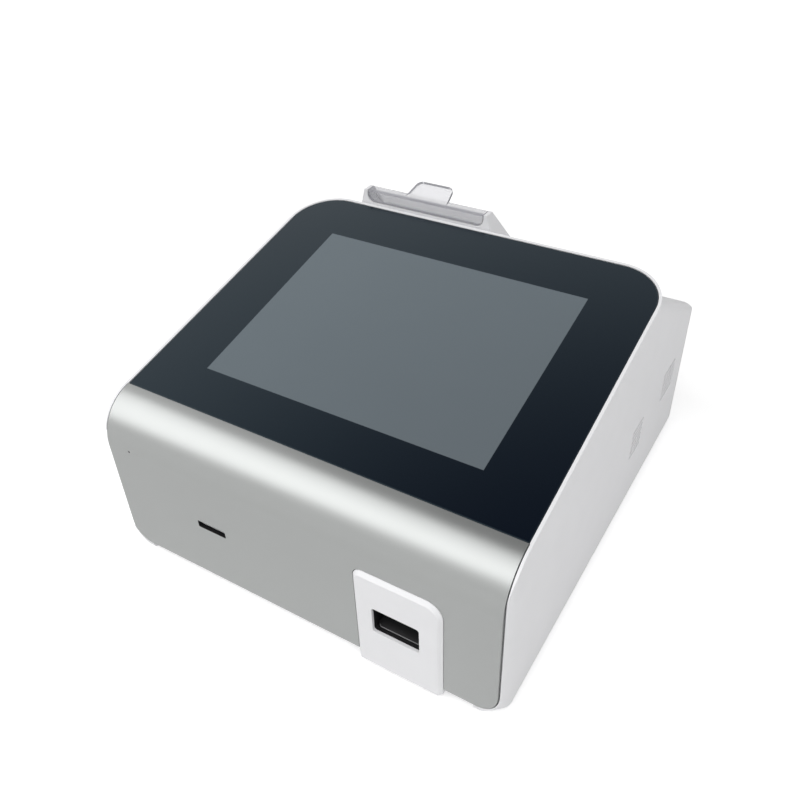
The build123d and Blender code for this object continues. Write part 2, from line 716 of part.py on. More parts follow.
with BuildPart() as optical_head:
    head_centre = sum(bridge_y) / 2
    with BuildSketch(Plane.XY.offset(bridge_top)):
        with Locations((slot_x, head_centre)):
            RectangleRounded(42, bridge_length, 3)
    extrude(amount=head_height)
    chamfer(optical_head.faces().sort_by(Axis.Z)[-1].edges(), 1.2)
    rod((slot_x, head_centre, bridge_top + head_height / 2), head_bore, head_height + 2, "Z", Mode.SUBTRACT)
    with BuildSketch(Plane.XZ.offset(-head_centre)):
        with Locations(Location((slot_x + 14, bridge_top + 16), 45)):
            Rectangle(9, 30)
    extrude(amount=4.5, both=True, mode=Mode.SUBTRACT)
optical_head.part.label = "optical_head"
export_step(optical_head.part, "parts/optical_head.step")

with BuildPart() as objective_lens:
    rod((slot_x, head_centre, bridge_top + lens_height / 2), lens_radius, lens_height)
    chamfer(objective_lens.faces().sort_by(Axis.Z)[-1].edges(), 0.8)
objective_lens.part.label = "objective_lens"
export_step(objective_lens.part, "parts/objective_lens.step")

with BuildPart() as sensor_board:
    with BuildSketch(Plane.XY.offset(bridge_top + head_height)):
        with Locations((slot_x, head_centre)):
            RectangleRounded(38, bridge_length - 4, 2)
    extrude(amount=1.6)
    with BuildSketch(Plane.XY.offset(bridge_top + head_height + 1.6)):
        with Locations((slot_x, head_centre)):
            Circle(4.6)
        with Locations((slot_x - 11, head_centre + 6), (slot_x + 11, head_centre - 5)):
            Rectangle(8, 8)
    extrude(amount=3)
sensor_board.part.label = "sensor_board"
export_step(sensor_board.part, "parts/sensor_board.step")

# Main board on spacers, with the card socket behind the front wall
board_z = z_base + card_centre - 7.2
board_x = (board_inset - half_width, slot_x - bed_width / 2 - board_gap)
board_y = (inner_front + 4, inner_front + 4 + board_length)
spacer_places = [(x, y) for x in (board_x[0] + 8, board_x[1] - 8) for y in (board_y[0] + 14, board_y[1] - 8)]

with BuildPart() as board_spacers:
    with BuildSketch(Plane.XY.offset(deck_z)):
        with Locations(*spacer_places):
            RegularPolygon(3.2, 6)
    extrude(amount=board_z - deck_z)
board_spacers.part.label = "board_spacers"
export_step(board_spacers.part, "parts/board_spacers.step")

with BuildPart() as main_board:
    slab(Plane.XY.offset(board_z), board_x, board_y, board_thickness)
    with BuildSketch(Plane.XY.offset(board_z + board_thickness)):
        with Locations((board_x[0] + 72, board_y[0] + 52)):
            Rectangle(24, 24)
        with Locations((board_x[0] + 30, board_y[0] + 60), (board_x[0] + 30, board_y[0] + 40)):
            Rectangle(16, 11)
        with Locations((board_x[1] - 18, board_y[0] + 60)):
            Rectangle(12, 34)
    extrude(amount=2)
main_board.part.label = "main_board"
export_step(main_board.part, "parts/main_board.step")

with BuildPart() as card_socket:
    socket_y = (inner_front, inner_front + 26)
    block((card_x - 12, card_x + 12), socket_y, (board_z + 1.6, z_base + card_centre + 3.6))
    with BuildSketch(facing(socket_y[0] - 1)):
        card_hole(0)
    extrude(amount=-24, mode=Mode.SUBTRACT)
card_socket.part.label = "card_socket"
export_step(card_socket.part, "parts/card_socket.step")

supply_x = (supply_inset - half_width, supply_inset - half_width + supply_width)
supply_y = (y_rear - supply_gap - supply_length, y_rear - supply_gap)
with BuildPart() as power_supply:
    supply_top = deck_z + supply_lift + board_thickness
    block(supply_x, supply_y, (deck_z + supply_lift, supply_top))
    for x, y, z, r in ((16, 18, 24, 9), (40, 18, 22, 7), (16, 72, 20, 6)):
        rod((supply_x[0] + x, supply_y[0] + y, supply_top + z / 2), r, z)
    block((supply_x[0] + 24, supply_x[0] + 54), (supply_y[0] + 36, supply_y[0] + 62), (supply_top, supply_top + 24))
    with BuildSketch(Plane.XY.offset(deck_z)):
        with Locations((sum(supply_x) / 2, sum(supply_y) / 2)):
            with GridLocations(supply_width - 7, supply_length - 7, 2, 2):
                Rectangle(5, 5)
    extrude(amount=supply_lift)
power_supply.part.label = "power_supply"
export_step(power_supply.part, "parts/power_supply.step")

# Rear panel with the power inlet, the rocker and the sockets
panel_back = inner_rear
panel_front = inner_rear - panel_thickness
panel_z = z_base + (window_bottom + window_top) / 2
rocker_pivot_y = panel_back - rocker_sink
serial_z = io_top + serial_rise

with BuildPart() as rear_panel:
    with BuildSketch(facing(panel_front)):
        with Locations((0, panel_z)):
            RectangleRounded(2 * window_half + 10, window_top - window_bottom + 8, 2)
        with Locations((inlet_x, panel_z)):
            Rectangle(inlet_body[0] + fit_gap, inlet_body[1] + fit_gap, mode=Mode.SUBTRACT)
        with Locations((rocker_x, panel_z)):
            Rectangle(rocker_body[0] + fit_gap, rocker_body[1] + fit_gap, mode=Mode.SUBTRACT)
        for x, body in ((usb_x, usb_body), (network_x, network_body)):
            with Locations((x, io_top + body[1] / 2)):
                Rectangle(body[0] + fit_gap, body[1] + fit_gap, mode=Mode.SUBTRACT)
        with Locations((serial_x, serial_z)):
            Rectangle(serial_shell[0] + fit_gap, serial_shell[1] + fit_gap, mode=Mode.SUBTRACT)
    extrude(amount=-panel_thickness)
    for x in (serial_x - 12, usb_x + 8):
        block((x - 4, x + 4), (panel_front - lug_depth, panel_front),
              (io_top - board_thickness - panel_thickness, io_top - board_thickness))
rear_panel.part.label = "rear_panel"
export_step(rear_panel.part, "parts/rear_panel.step")

with BuildPart() as power_inlet:
    with BuildSketch(facing(panel_back)):
        with Locations((inlet_x, panel_z)):
            RectangleRounded(*inlet_flange, 2)
    extrude(amount=-2)
    with BuildSketch(facing(panel_back + 2)):
        with Locations((inlet_x, panel_z)):
            Rectangle(*inlet_body)
    extrude(amount=24)
    with BuildSketch(facing(panel_back + 3)) as cavity:
        with Locations((inlet_x, panel_z)):
            Rectangle(inlet_mouth[0], inlet_mouth[1])
        chamfer(cavity.vertices().group_by(Axis.Z)[-1], inlet_mouth[2])
    extrude(amount=inlet_depth, mode=Mode.SUBTRACT)
    for x, z in ((-7, -2), (7, -2), (0, 3)):
        block((inlet_x + x - 1, inlet_x + x + 1), (panel_back - 16.5, panel_back - 1),
              (panel_z + z - 2, panel_z + z + 2))
power_inlet.part.label = "power_inlet"
export_step(power_inlet.part, "parts/power_inlet.step")

with BuildPart() as rocker_frame:
    with BuildSketch(facing(panel_back)):
        with Locations((rocker_x, panel_z)):
            RectangleRounded(*rocker_flange, 1.5)
    extrude(amount=-1.2)
    with BuildSketch(facing(panel_back + 1.2)):
        with Locations((rocker_x, panel_z)):
            Rectangle(*rocker_body)
    extrude(amount=15)
    block((rocker_x - rocker_opening[0] / 2, rocker_x + rocker_opening[0] / 2),
          (rocker_pivot_y - 7.5, panel_back + 2),
          (panel_z - rocker_opening[1] / 2, panel_z + rocker_opening[1] / 2), Mode.SUBTRACT)
    rod((rocker_x, rocker_pivot_y, panel_z), rocker_pin + running, 20, "X", Mode.SUBTRACT)
rocker_frame.part.label = "rocker_frame"
export_step(rocker_frame.part, "parts/rocker_frame.step")

rocker_plane = Plane(origin=(rocker_x, rocker_pivot_y, panel_z), z_dir=(1, 0, 0),
                     x_dir=(0, cos(radians(rocker_swing / 2)), -sin(radians(rocker_swing / 2))))
with BuildPart() as power_rocker:
    with BuildSketch(rocker_plane):
        with BuildLine():
            Polyline([(0.3, 0), (1.6, 8), (-0.5, 8), (-5, 3), (-5, -3), (-0.5, -8), (1.6, -8)], close=True)
        make_face()
    extrude(amount=rocker_opening[0] / 2 - fit_gap, both=True)
    fillet(power_rocker.edges().filter_by(Axis.X).group_by(Axis.Y)[-1], 0.5)
    rod((rocker_x, rocker_pivot_y, panel_z), rocker_pin, rocker_opening[0] + 2, "X")
power_rocker.part.label = "power_rocker"
export_step(power_rocker.part, "parts/power_rocker.step")

with BuildPart() as io_board:
    slab(Plane.XY.offset(io_top - board_thickness), (serial_x - 16, usb_x + 12),
         (panel_front - 25, panel_front - fit_gap), board_thickness)
    with BuildSketch(Plane.XY.offset(io_top)):
        with Locations((serial_x, panel_front - 20), (network_x, panel_front - 21)):
            Rectangle(9, 5)
    extrude(amount=board_thickness)
io_board.part.label = "io_board"
export_step(io_board.part, "parts/io_board.step")

with BuildPart() as usb_socket:
    face = panel_back + 0.6
    block((usb_x - usb_body[0] / 2, usb_x + usb_body[0] / 2), (face - 17, face), (io_top, io_top + usb_body[1]))
    for z in (io_top + 4, io_top + usb_body[1] - 4):
        with BuildSketch(facing(face)):
            with Locations((usb_x, z)):
                RectangleRounded(12.2, 5.4, 0.5)
        extrude(amount=13, mode=Mode.SUBTRACT)
        block((usb_x - 5.5, usb_x + 5.5), (face - 14, face - 1), (z - 0.2, z + 1.6))
usb_socket.part.label = "usb_socket"
export_step(usb_socket.part, "parts/usb_socket.step")

with BuildPart() as network_socket:
    block((network_x - network_body[0] / 2, network_x + network_body[0] / 2), (face - 16, face),
          (io_top, io_top + network_body[1]))
    block((network_x - 5.9, network_x + 5.9), (face - 11, face + 1), (io_top + 3, io_top + 11.5), Mode.SUBTRACT)
    block((network_x - 3, network_x + 3), (face - 11, face + 1), (io_top + 1.4, io_top + 3), Mode.SUBTRACT)
network_socket.part.label = "network_socket"
export_step(network_socket.part, "parts/network_socket.step")

with BuildPart() as serial_socket:
    block((serial_x - 15, serial_x + 15), (panel_front - 8, panel_front), (io_top, io_top + 12.5))
    with BuildSketch(facing(panel_front)) as shell:
        with Locations((serial_x, serial_z)):
            Trapezoid(serial_shell[0], serial_shell[1], 80, rotation=180)
        fillet(shell.vertices(), 1.5)
    extrude(amount=-3)
    with BuildSketch(facing(panel_front - 3)) as mating:
        with Locations((serial_x, serial_z)):
            Trapezoid(serial_shell[0] - 1, serial_shell[1] - 1, 80, rotation=180)
        fillet(mating.vertices(), 1.2)
    extrude(amount=-7, mode=Mode.SUBTRACT)
    with BuildSketch(facing(panel_front - 3)):
        with Locations((serial_x, serial_z + 1.3)):
            with GridLocations(2.7, 1, 5, 1):
                Rectangle(0.9, 0.9)
        with Locations((serial_x, serial_z - 1.3)):
            with GridLocations(2.7, 1, 4, 1):
                Rectangle(0.9, 0.9)
    extrude(amount=-5)
serial_socket.part.label = "serial_socket"
export_step(serial_socket.part, "parts/serial_socket.step")

# Label printer
def pod_profile(inset):
    """The pod's side outline in Y and Z, drawn in by an amount on its front, top and back."""
    back_drop = inset / cos(radians(pod_back))
    top = pod_top - inset
    edge = pod_edge + (inset - back_drop) / back_fall
    rear = (top + back_fall * edge - crest_z - fall * crest_y) / (back_fall - fall)
    front = pod_front + inset
    return [(front, slope_z(front)), (front, top), (edge, top), (rear, slope_z(rear))]


def pod_form(inset):
    """The pod as a solid with drafted ends."""
    half = door_width / 2 + door_gap + cheek - inset / cos(radians(pod_draft))
    low = slope_z(pod_rear) - 1
    spread = (pod_top - low) * tan(radians(pod_draft))
    with BuildPart() as form:
        with BuildSketch(Plane.YZ.offset(pod_x)):
            with BuildLine():
                Polyline(pod_profile(inset), close=True)
            make_face()
        extrude(amount=half + spread, both=True)
        with BuildSketch(facing(pod_front - over)):
            with BuildLine():
                Polyline([(pod_x - half, pod_top), (pod_x + half, pod_top),
                          (pod_x + half + spread, low), (pod_x - half - spread, low)], close=True)
            make_face()
        extrude(amount=-(pod_rear - pod_front + 2 * over), mode=Mode.INTERSECT)
    return form.part


with BuildPart() as bay_surround:
    block((pod_x - bay_half - bay_wall, pod_x + bay_half + bay_wall), (pod_front - over, pod_rear + over),
          (slope_z(pod_rear) - over, pod_top + over))
hollow = pod_form(cheek) - bay_surround.part

with BuildPart() as printer_pod:
    add(pod_form(0))
    add(hollow, mode=Mode.SUBTRACT)
    with BuildSketch(facing(pod_front - over)) as lip_space:
        with Locations((pod_x, (lip_z - door_gap + pod_top) / 2 + over)):
            Rectangle(2 * bay_half, pod_top - lip_z + door_gap + 2 * over)
        fillet(lip_space.vertices().group_by(Axis.Y)[0], door_corner + door_gap)
    extrude(amount=-(bay_front - pod_front + over + 1), mode=Mode.SUBTRACT)
    with BuildSketch(Plane.YZ.offset(pod_x - bay_half - bay_wall)):
        with BuildLine():
            Polyline([(y, slope_z(y) - drop) for y, drop in (
                (bay_front + fit_gap, 0), (bay_rear - fit_gap, 0),
                (bay_rear - fit_gap, slope_wall), (bay_front + fit_gap, slope_wall))], close=True)
        make_face()
    extrude(amount=2 * (bay_half + bay_wall))
    block((pod_x - bay_half, pod_x + bay_half), (bay_front, bay_rear),
          (slope_z(bay_rear) - over, pod_top), Mode.SUBTRACT)
    rod((pod_x, hinge_y, hinge_z), pin_radius, 2 * (bay_half + bay_wall), "X", Mode.SUBTRACT)
printer_pod.part.label = "printer_pod"
export_step(printer_pod.part, "parts/printer_pod.step")

with BuildPart() as printer_door:
    t = door_thickness
    inner_edge = pod_edge + (t - t / cos(radians(pod_back))) / back_fall
    reach = hinge_reach + 2
    tip = (pod_edge + reach * along_back[0], pod_top + reach * along_back[1])
    inner_tip = (tip[0] + t * into_pod[0], tip[1] + t * into_pod[1])
    with BuildSketch(Plane.YZ.offset(pod_x)) as skin:
        with BuildLine():
            Polyline([(pod_front, lip_z), (pod_front, pod_top), (pod_edge, pod_top), tip, inner_tip,
                      (inner_edge, pod_top - t), (pod_front + t, pod_top - t), (pod_front + t, lip_z)],
                     close=True)
        make_face()
        fillet(corner(skin, pod_front, pod_top), 1.6)
        fillet(corner(skin, pod_edge, pod_top), 1.6)
    extrude(amount=door_width / 2, both=True)
    lip_corners = printer_door.edges().filter_by(Axis.Y).group_by(Axis.Z)[0]
    fillet(lip_corners, door_corner)
    for side in (-1, 1):
        rod((pod_x + side * (door_width - knuckle_length) / 2, hinge_y, hinge_z), knuckle_radius,
            knuckle_length, "X")
    rod((pod_x, hinge_y, hinge_z), pin_radius + running, door_width + 1, "X", Mode.SUBTRACT)
    tab_plane = Plane(origin=(pod_x, pod_front + 2.5, pod_top), x_dir=(1, 0, 0),
                      z_dir=(0, -sin(radians(tab_lean)), cos(radians(tab_lean))))
    with BuildSketch(tab_plane) as tab:
        with BuildLine():
            Polyline([(-tab_base / 2, 0), (tab_base / 2, 0), (tab_top / 2, tab_length),
                      (-tab_top / 2, tab_length)], close=True)
        make_face()
        fillet(tab.vertices().group_by(Axis.Y)[-1], tab_corner)
    extrude(amount=-1.8)
printer_door.part.label = "printer_door"
export_step(printer_door.part, "parts/printer_door.step")

with BuildPart() as door_pins:
    for side in (-1, 1):
        rod((pod_x + side * (door_width / 2 - knuckle_length + bay_half + bay_wall) / 2, hinge_y, hinge_z),
            pin_radius, bay_half + bay_wall - door_width / 2 + knuckle_length, "X")
door_pins.part.label = "door_pins"
export_step(door_pins.part, "parts/door_pins.step")

trough_inner = roll_radius + roll_clearance
ends = (roll_x - roll_width / 2 - 0.5, roll_x + roll_width / 2 + 0.5)

with BuildPart() as paper_cradle:
    tub_x = (pod_x - bay_half + fit_gap, pod_x + bay_half - fit_gap)
    tub_y = (bay_front + fit_gap, roll_y + trough_inner + sheet)
    shelf = roll_z + 1
    block(tub_x, tub_y, (shelf - sheet, pod_top))
    with BuildSketch(Plane.YZ.offset(ends[0] - sheet)):
        with Locations((roll_y, roll_z)):
            Circle(trough_inner + sheet)
    extrude(amount=ends[1] - ends[0] + 2 * sheet)
    with BuildSketch(slope_plane.offset(-wall)):
        with Locations((pod_x, ((tub_y[0] + tub_y[1]) / 2 - crest_y) / cos(radians(rear_slope)))):
            Rectangle(tub_x[1] - tub_x[0] + 14, (tub_y[1] - tub_y[0] + 7) / cos(radians(rear_slope)))
    extrude(amount=-sheet)
    for x in ((tub_x[0] + sheet, ends[0] - sheet), (ends[1] + sheet, tub_x[1] - sheet)):
        block(x, (tub_y[0] + sheet, tub_y[1] - sheet), (shelf, pod_top), Mode.SUBTRACT)
    with BuildSketch(Plane.YZ.offset(ends[0])):
        with Locations((roll_y, roll_z)):
            Circle(trough_inner)
            with Locations((0, trough_inner)):
                Rectangle(2 * trough_inner, 2 * trough_inner)
    extrude(amount=ends[1] - ends[0], mode=Mode.SUBTRACT)
    with BuildSketch(Plane.YZ.offset(ends[0] - sheet)):
        with Locations((roll_y, roll_z)):
            Circle(spindle_end + running)
            with Locations((0, trough_inner)):
                Rectangle(2 * (spindle_end + running), 2 * trough_inner)
    extrude(amount=ends[1] - ends[0] + 2 * sheet, mode=Mode.SUBTRACT)
    with BuildSketch(Plane.YZ.offset(tub_x[0] - over)):
        with BuildLine():
            Polyline([(y, slope_z(y) - slope_wall + up) for y, up in (
                (tub_y[0] + sheet, 0), (pod_rear + over, 0),
                (pod_rear + over, 2 * pod_top), (tub_y[0] + sheet, 2 * pod_top))], close=True)
        make_face()
    extrude(amount=tub_x[1] - tub_x[0] + 2 * over, mode=Mode.SUBTRACT)
    block(tub_x, tub_y, (lip_z - 2, pod_top), Mode.SUBTRACT)
    rod((pod_x, hinge_y, hinge_z), knuckle_radius + 0.5, tub_x[1] - tub_x[0], "X", Mode.SUBTRACT)
paper_cradle.part.label = "paper_cradle"
export_step(paper_cradle.part, "parts/paper_cradle.step")

with BuildPart() as paper_spindle:
    rod((roll_x, roll_y, roll_z), core_radius - 0.08, roll_width - 0.4, "X")
    rod((roll_x, roll_y, roll_z), spindle_end, roll_width + 1 + 2 * sheet, "X")
paper_spindle.part.label = "paper_spindle"
export_step(paper_spindle.part, "parts/paper_spindle.step")

with BuildPart() as paper_roll:
    rod((roll_x, roll_y, roll_z), roll_radius, roll_width, "X")
    rod((roll_x, roll_y, roll_z), core_radius, roll_width + 1, "X", Mode.SUBTRACT)
paper_roll.part.label = "paper_roll"
export_step(paper_roll.part, "parts/paper_roll.step")

with BuildPart() as platen_roller:
    rod((roll_x, platen_y, platen_z), platen_radius, roll_width, "X")
    rod((roll_x, platen_y, platen_z), platen_shaft, roll_width + 2 * (0.5 + ear + 1), "X")
platen_roller.part.label = "platen_roller"
export_step(platen_roller.part, "parts/platen_roller.step")

with BuildPart() as platen_bracket:
    plate_plane = Plane(origin=(roll_x, platen_y, platen_z), x_dir=(1, 0, 0),
                        z_dir=(0, -into_pod[0], -into_pod[1]))
    depth = platen_depth * cos(radians(pod_back)) - door_thickness
    with BuildSketch(plate_plane.offset(depth - sheet)):
        Rectangle(roll_width + 2 * (0.5 + ear), 12)
    extrude(amount=sheet)
    for side in (-1, 1):
        with BuildSketch(Plane.YZ.offset(roll_x + side * (roll_width / 2 + 0.5 + ear / 2))) as lug:
            with Locations(Location((platen_y, platen_z), -pod_back)):
                Circle(ear_radius)
                Rectangle(2 * ear_radius, depth, align=(Align.CENTER, Align.MIN))
                Circle(platen_shaft + running, mode=Mode.SUBTRACT)
        extrude(amount=ear / 2, both=True)
platen_bracket.part.label = "platen_bracket"
export_step(platen_bracket.part, "parts/platen_bracket.step")

with BuildPart() as thermal_head:
    head_y = bay_front + fit_gap + sheet
    block((roll_x - roll_width / 2, roll_x + roll_width / 2), (head_y, head_y + head_thickness),
          (platen_z - 8, platen_z + 6))
    chamfer(thermal_head.faces().sort_by(Axis.Y)[-1].edges().filter_by(Axis.X), 1.2)
thermal_head.part.label = "thermal_head"
export_step(thermal_head.part, "parts/thermal_head.step")
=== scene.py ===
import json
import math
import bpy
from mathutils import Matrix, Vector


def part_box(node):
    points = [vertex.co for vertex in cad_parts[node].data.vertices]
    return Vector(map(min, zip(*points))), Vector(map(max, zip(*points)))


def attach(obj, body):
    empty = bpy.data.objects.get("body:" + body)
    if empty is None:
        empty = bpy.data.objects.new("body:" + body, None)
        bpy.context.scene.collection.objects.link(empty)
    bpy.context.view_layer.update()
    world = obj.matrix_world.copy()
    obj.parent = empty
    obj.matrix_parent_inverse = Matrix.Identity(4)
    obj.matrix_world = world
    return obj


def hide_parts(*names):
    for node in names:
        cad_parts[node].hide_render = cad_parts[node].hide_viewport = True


bl_info = {
    "name": "Immunoassay analyzer",
    "version": (1, 0, 0),
    "blender": (4, 5, 0),
    "location": "3D View > Sidebar > Analyzer",
    "description": "Finishes and studio for a desktop immunoassay analyzer",
    "category": "Object",
}

import bmesh
import bpy
from bpy.props import BoolProperty, FloatProperty, FloatVectorProperty, PointerProperty
from mathutils import Euler, Quaternion, Vector

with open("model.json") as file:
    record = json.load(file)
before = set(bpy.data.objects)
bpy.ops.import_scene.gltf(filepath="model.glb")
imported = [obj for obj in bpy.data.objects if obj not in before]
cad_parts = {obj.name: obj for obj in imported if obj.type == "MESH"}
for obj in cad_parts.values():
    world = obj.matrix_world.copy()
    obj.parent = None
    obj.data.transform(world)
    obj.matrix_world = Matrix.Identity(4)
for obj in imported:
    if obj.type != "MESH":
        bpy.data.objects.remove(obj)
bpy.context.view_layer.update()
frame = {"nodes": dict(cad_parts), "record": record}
NODE_BODY = {node: body for body, nodes in frame["record"]["behaviour"]["bodies"].items() for node in nodes}
TILT = math.radians(12.0)                       # slope of the touch glass
TAB_LEAN = math.radians(20.0)                   # rise of the door's tab
GLASS_EDGE = Vector((0.0, -0.1128, 0.104))      # middle of the glass's lower edge
ALONG_GLASS = Vector((0.0, math.cos(TILT), math.sin(TILT)))
GLASS_NORMAL = Vector((0.0, -math.sin(TILT), math.cos(TILT)))
WELD_DISTANCE = 2e-6
FLAT_ANGLE = math.radians(0.4)                  # faces closer to one plane than this become one
SHARP_ANGLE = 35.0                              # edges turning more than this stay sharp, in degrees
SCREW_PITCH = 0.0008
LEG_SIZE = (0.0014, 0.0006, 0.00045)            # a chip's leg: out from the chip, along its side, thickness

# Camera, from the photograph's viewing angle
CAMERA_PLACE = (0.197539, -0.336583, 0.360567)
CAMERA_TURN = (52.31842, 1.79337, 31.20756)
CAMERA_LENS = 37.4831
CAMERA_SENSOR = 36.0
FLOOR_REACH = 6.0


# Node helpers

class Tree:
    """A material's node tree, with short calls to add and join its nodes."""

    def __init__(self, name):
        self.material = bpy.data.materials.new(name)
        self.material.use_nodes = True
        self.nodes = self.material.node_tree.nodes
        self.links = self.material.node_tree.links
        self.nodes.clear()
        self.output = self.nodes.new("ShaderNodeOutputMaterial")
        self.place = self.nodes.new("ShaderNodeTexCoord").outputs["Object"]

    def add(self, kind, **settings):
        """A shader node of a kind, with its settings."""
        node = self.nodes.new("ShaderNode" + kind)
        for key, value in settings.items():
            setattr(node, key, value)
        return node

    def join(self, start, end):
        """A link from one socket to another."""
        self.links.new(start, end)

    def value(self, operation, a, b=None, c=None):
        """A math node's result."""
        node = self.add("Math", operation=operation)
        for socket, item in zip(node.inputs, (a, b, c)):
            if item is None:
                continue
            if isinstance(item, (int, float)):
                socket.default_value = item
            else:
                self.join(item, socket)
        return node.outputs[0]

    def split(self):
        """The object coordinates as X, Y and Z."""
        node = self.add("SeparateXYZ")
        self.join(self.place, node.inputs[0])
        return node.outputs

    def noise(self, scale, detail=2.0, roughness=0.5, stretch=None):
        """Noise in object coordinates, stretched along its axes where asked."""
        node = self.add("TexNoise")
        node.inputs["Scale"].default_value = scale
        node.inputs["Detail"].default_value = detail
        node.inputs["Roughness"].default_value = roughness
        source = self.place
        if stretch:
            mapping = self.add("Mapping")
            mapping.inputs["Scale"].default_value = stretch
            self.join(source, mapping.inputs["Vector"])
            source = mapping.outputs["Vector"]
        self.join(source, node.inputs["Vector"])
        return node.outputs["Fac"]

    def between(self, factor, low, high):
        """A factor spread over a range of values."""
        node = self.add("MapRange")
        self.join(factor, node.inputs["Value"])
        node.inputs["To Min"].default_value = low
        node.inputs["To Max"].default_value = high
        return node.outputs["Result"]

    def blend(self, factor, first, second):
        """Two colours mixed by a factor."""
        node = self.add("Mix", data_type="RGBA")
        self.join(factor, node.inputs["Factor"])
        for socket, item in ((node.inputs["A"], first), (node.inputs["B"], second)):
            if hasattr(item, "node"):
                self.join(item, socket)
            else:
                socket.default_value = (*item[:3], 1.0)
        return node.outputs["Result"]

    def bump(self, height, strength, distance):
        """A normal from a height."""
        node = self.add("Bump")
        node.inputs["Strength"].default_value = strength
        node.inputs["Distance"].default_value = distance
        self.join(height, node.inputs["Height"])
        return node.outputs["Normal"]

    def surface(self, **inputs):
        """The principled shader, joined to the output."""
        shader = self.add("BsdfPrincipled")
        for key, item in inputs.items():
            socket = shader.inputs[key.replace("_", " ").title().replace("Ior", "IOR")]
            if hasattr(item, "node"):
                self.join(item, socket)
            elif isinstance(item, (tuple, list)):
                socket.default_value = (*item[:3], 1.0)
            else:
                socket.default_value = item
        self.join(shader.outputs[0], self.output.inputs["Surface"])


def shade(colour, factor):
    """A colour made darker or lighter."""
    return [min(c * factor, 1.0) for c in colour]


def moulded(name, colour, roughness=0.45):
    """Moulded plastic with a fine spark-eroded grain."""
    tree = Tree(name)
    mottle = 0.02
    spread = 0.05
    fine = tree.noise(9000.0, detail=2.0, roughness=0.6)
    broad = tree.noise(60.0, detail=2.0, roughness=0.5)
    tree.surface(base_color=tree.blend(broad, shade(colour, 1 - mottle), shade(colour, 1 + mottle)),
                 roughness=tree.between(fine, roughness - spread, roughness + spread),
                 normal=tree.bump(fine, strength=0.15, distance=0.00002))
    return tree.material


def silver_paint(name, colour, roughness):
    """Silver paint with fine metal flake."""
    tree = Tree(name)
    flake = tree.noise(5200.0, detail=3.0, roughness=0.7)
    broad = tree.noise(35.0, detail=2.0, roughness=0.5)
    glint = 0.035
    spread = 0.02
    tree.surface(base_color=tree.blend(flake, shade(colour, 1 - glint), shade(colour, 1 + glint)),
                 metallic=0.92, roughness=tree.between(broad, roughness - spread, roughness + spread),
                 normal=tree.bump(flake, strength=0.05, distance=0.00002))
    return tree.material


def printed_glass(name, border, screen, half_width, half_height, centre, roughness):
    """Touch glass: black print on its back, clear over the screen."""
    tree = Tree(name)
    print_blur = 0.0002
    unevenness = 0.04
    spread = 0.02
    x, y, z = tree.split()
    along = tree.value("ADD", tree.value("MULTIPLY", tree.value("SUBTRACT", y, GLASS_EDGE.y), math.cos(TILT)),
                       tree.value("MULTIPLY", tree.value("SUBTRACT", z, GLASS_EDGE.z), math.sin(TILT)))
    across = tree.value("SUBTRACT", tree.value("ABSOLUTE", x), half_width)
    down = tree.value("SUBTRACT", tree.value("ABSOLUTE", tree.value("SUBTRACT", along, centre)), half_height)
    outside = tree.value("MAXIMUM", across, down)
    edge = tree.add("MapRange", interpolation_type="SMOOTHSTEP")
    tree.join(outside, edge.inputs["Value"])
    edge.inputs["From Min"].default_value = -print_blur
    edge.inputs["From Max"].default_value = print_blur
    smear = tree.noise(14.0, detail=3.0, roughness=0.55)
    tint = tree.blend(smear, shade(screen, 1 - unevenness), shade(screen, 1 + unevenness))
    colour = tree.blend(edge.outputs["Result"], tint, border)
    tree.surface(base_color=colour, roughness=tree.between(smear, roughness, roughness + spread),
                 specular_tint=(0.60, 0.88, 1.0), specular_ior_level=0.58)
    return tree.material


def clear_sheet(name, tint, roughness):
    """Thin clear moulding: nearly unseen face on, denser and greyer where it is seen at a slant."""
    tree = Tree(name)
    fine = tree.noise(300.0, detail=2.0, roughness=0.5)
    slant = tree.add("LayerWeight")
    slant.inputs["Blend"].default_value = 0.35
    facing = slant.outputs["Facing"]
    seen_face_on = 0.22
    seen_at_slant = 0.7
    tree.surface(base_color=tree.blend(facing, tint, shade(tint, 0.7)), roughness=roughness,
                 alpha=tree.between(facing, seen_face_on, seen_at_slant),
                 normal=tree.bump(fine, strength=0.02, distance=0.00005))
    return tree.material


def lens_glass(name, tint):
    """Polished optical glass."""
    tree = Tree(name)
    fine = tree.noise(300.0, detail=2.0, roughness=0.5)
    tree.surface(base_color=tree.blend(fine, shade(tint, 0.99), tint), roughness=0.0, ior=1.52,
                 transmission_weight=1.0)
    return tree.material


def metal(name, colour, roughness, brushed=0.0):
    """Bare or plated metal, brushed along X where asked."""
    tree = Tree(name)
    smoother = 0.05
    rougher = 0.08
    grain = tree.noise(1800.0, detail=3.0, roughness=0.6, stretch=(0.05, 1.0, 1.0) if brushed else None)
    tree.surface(base_color=tree.blend(grain, shade(colour, 0.94), colour), metallic=1.0,
                 roughness=tree.between(grain, roughness - smoother, roughness + rougher),
                 normal=tree.bump(grain, strength=0.05 + brushed, distance=0.00002))
    return tree.material


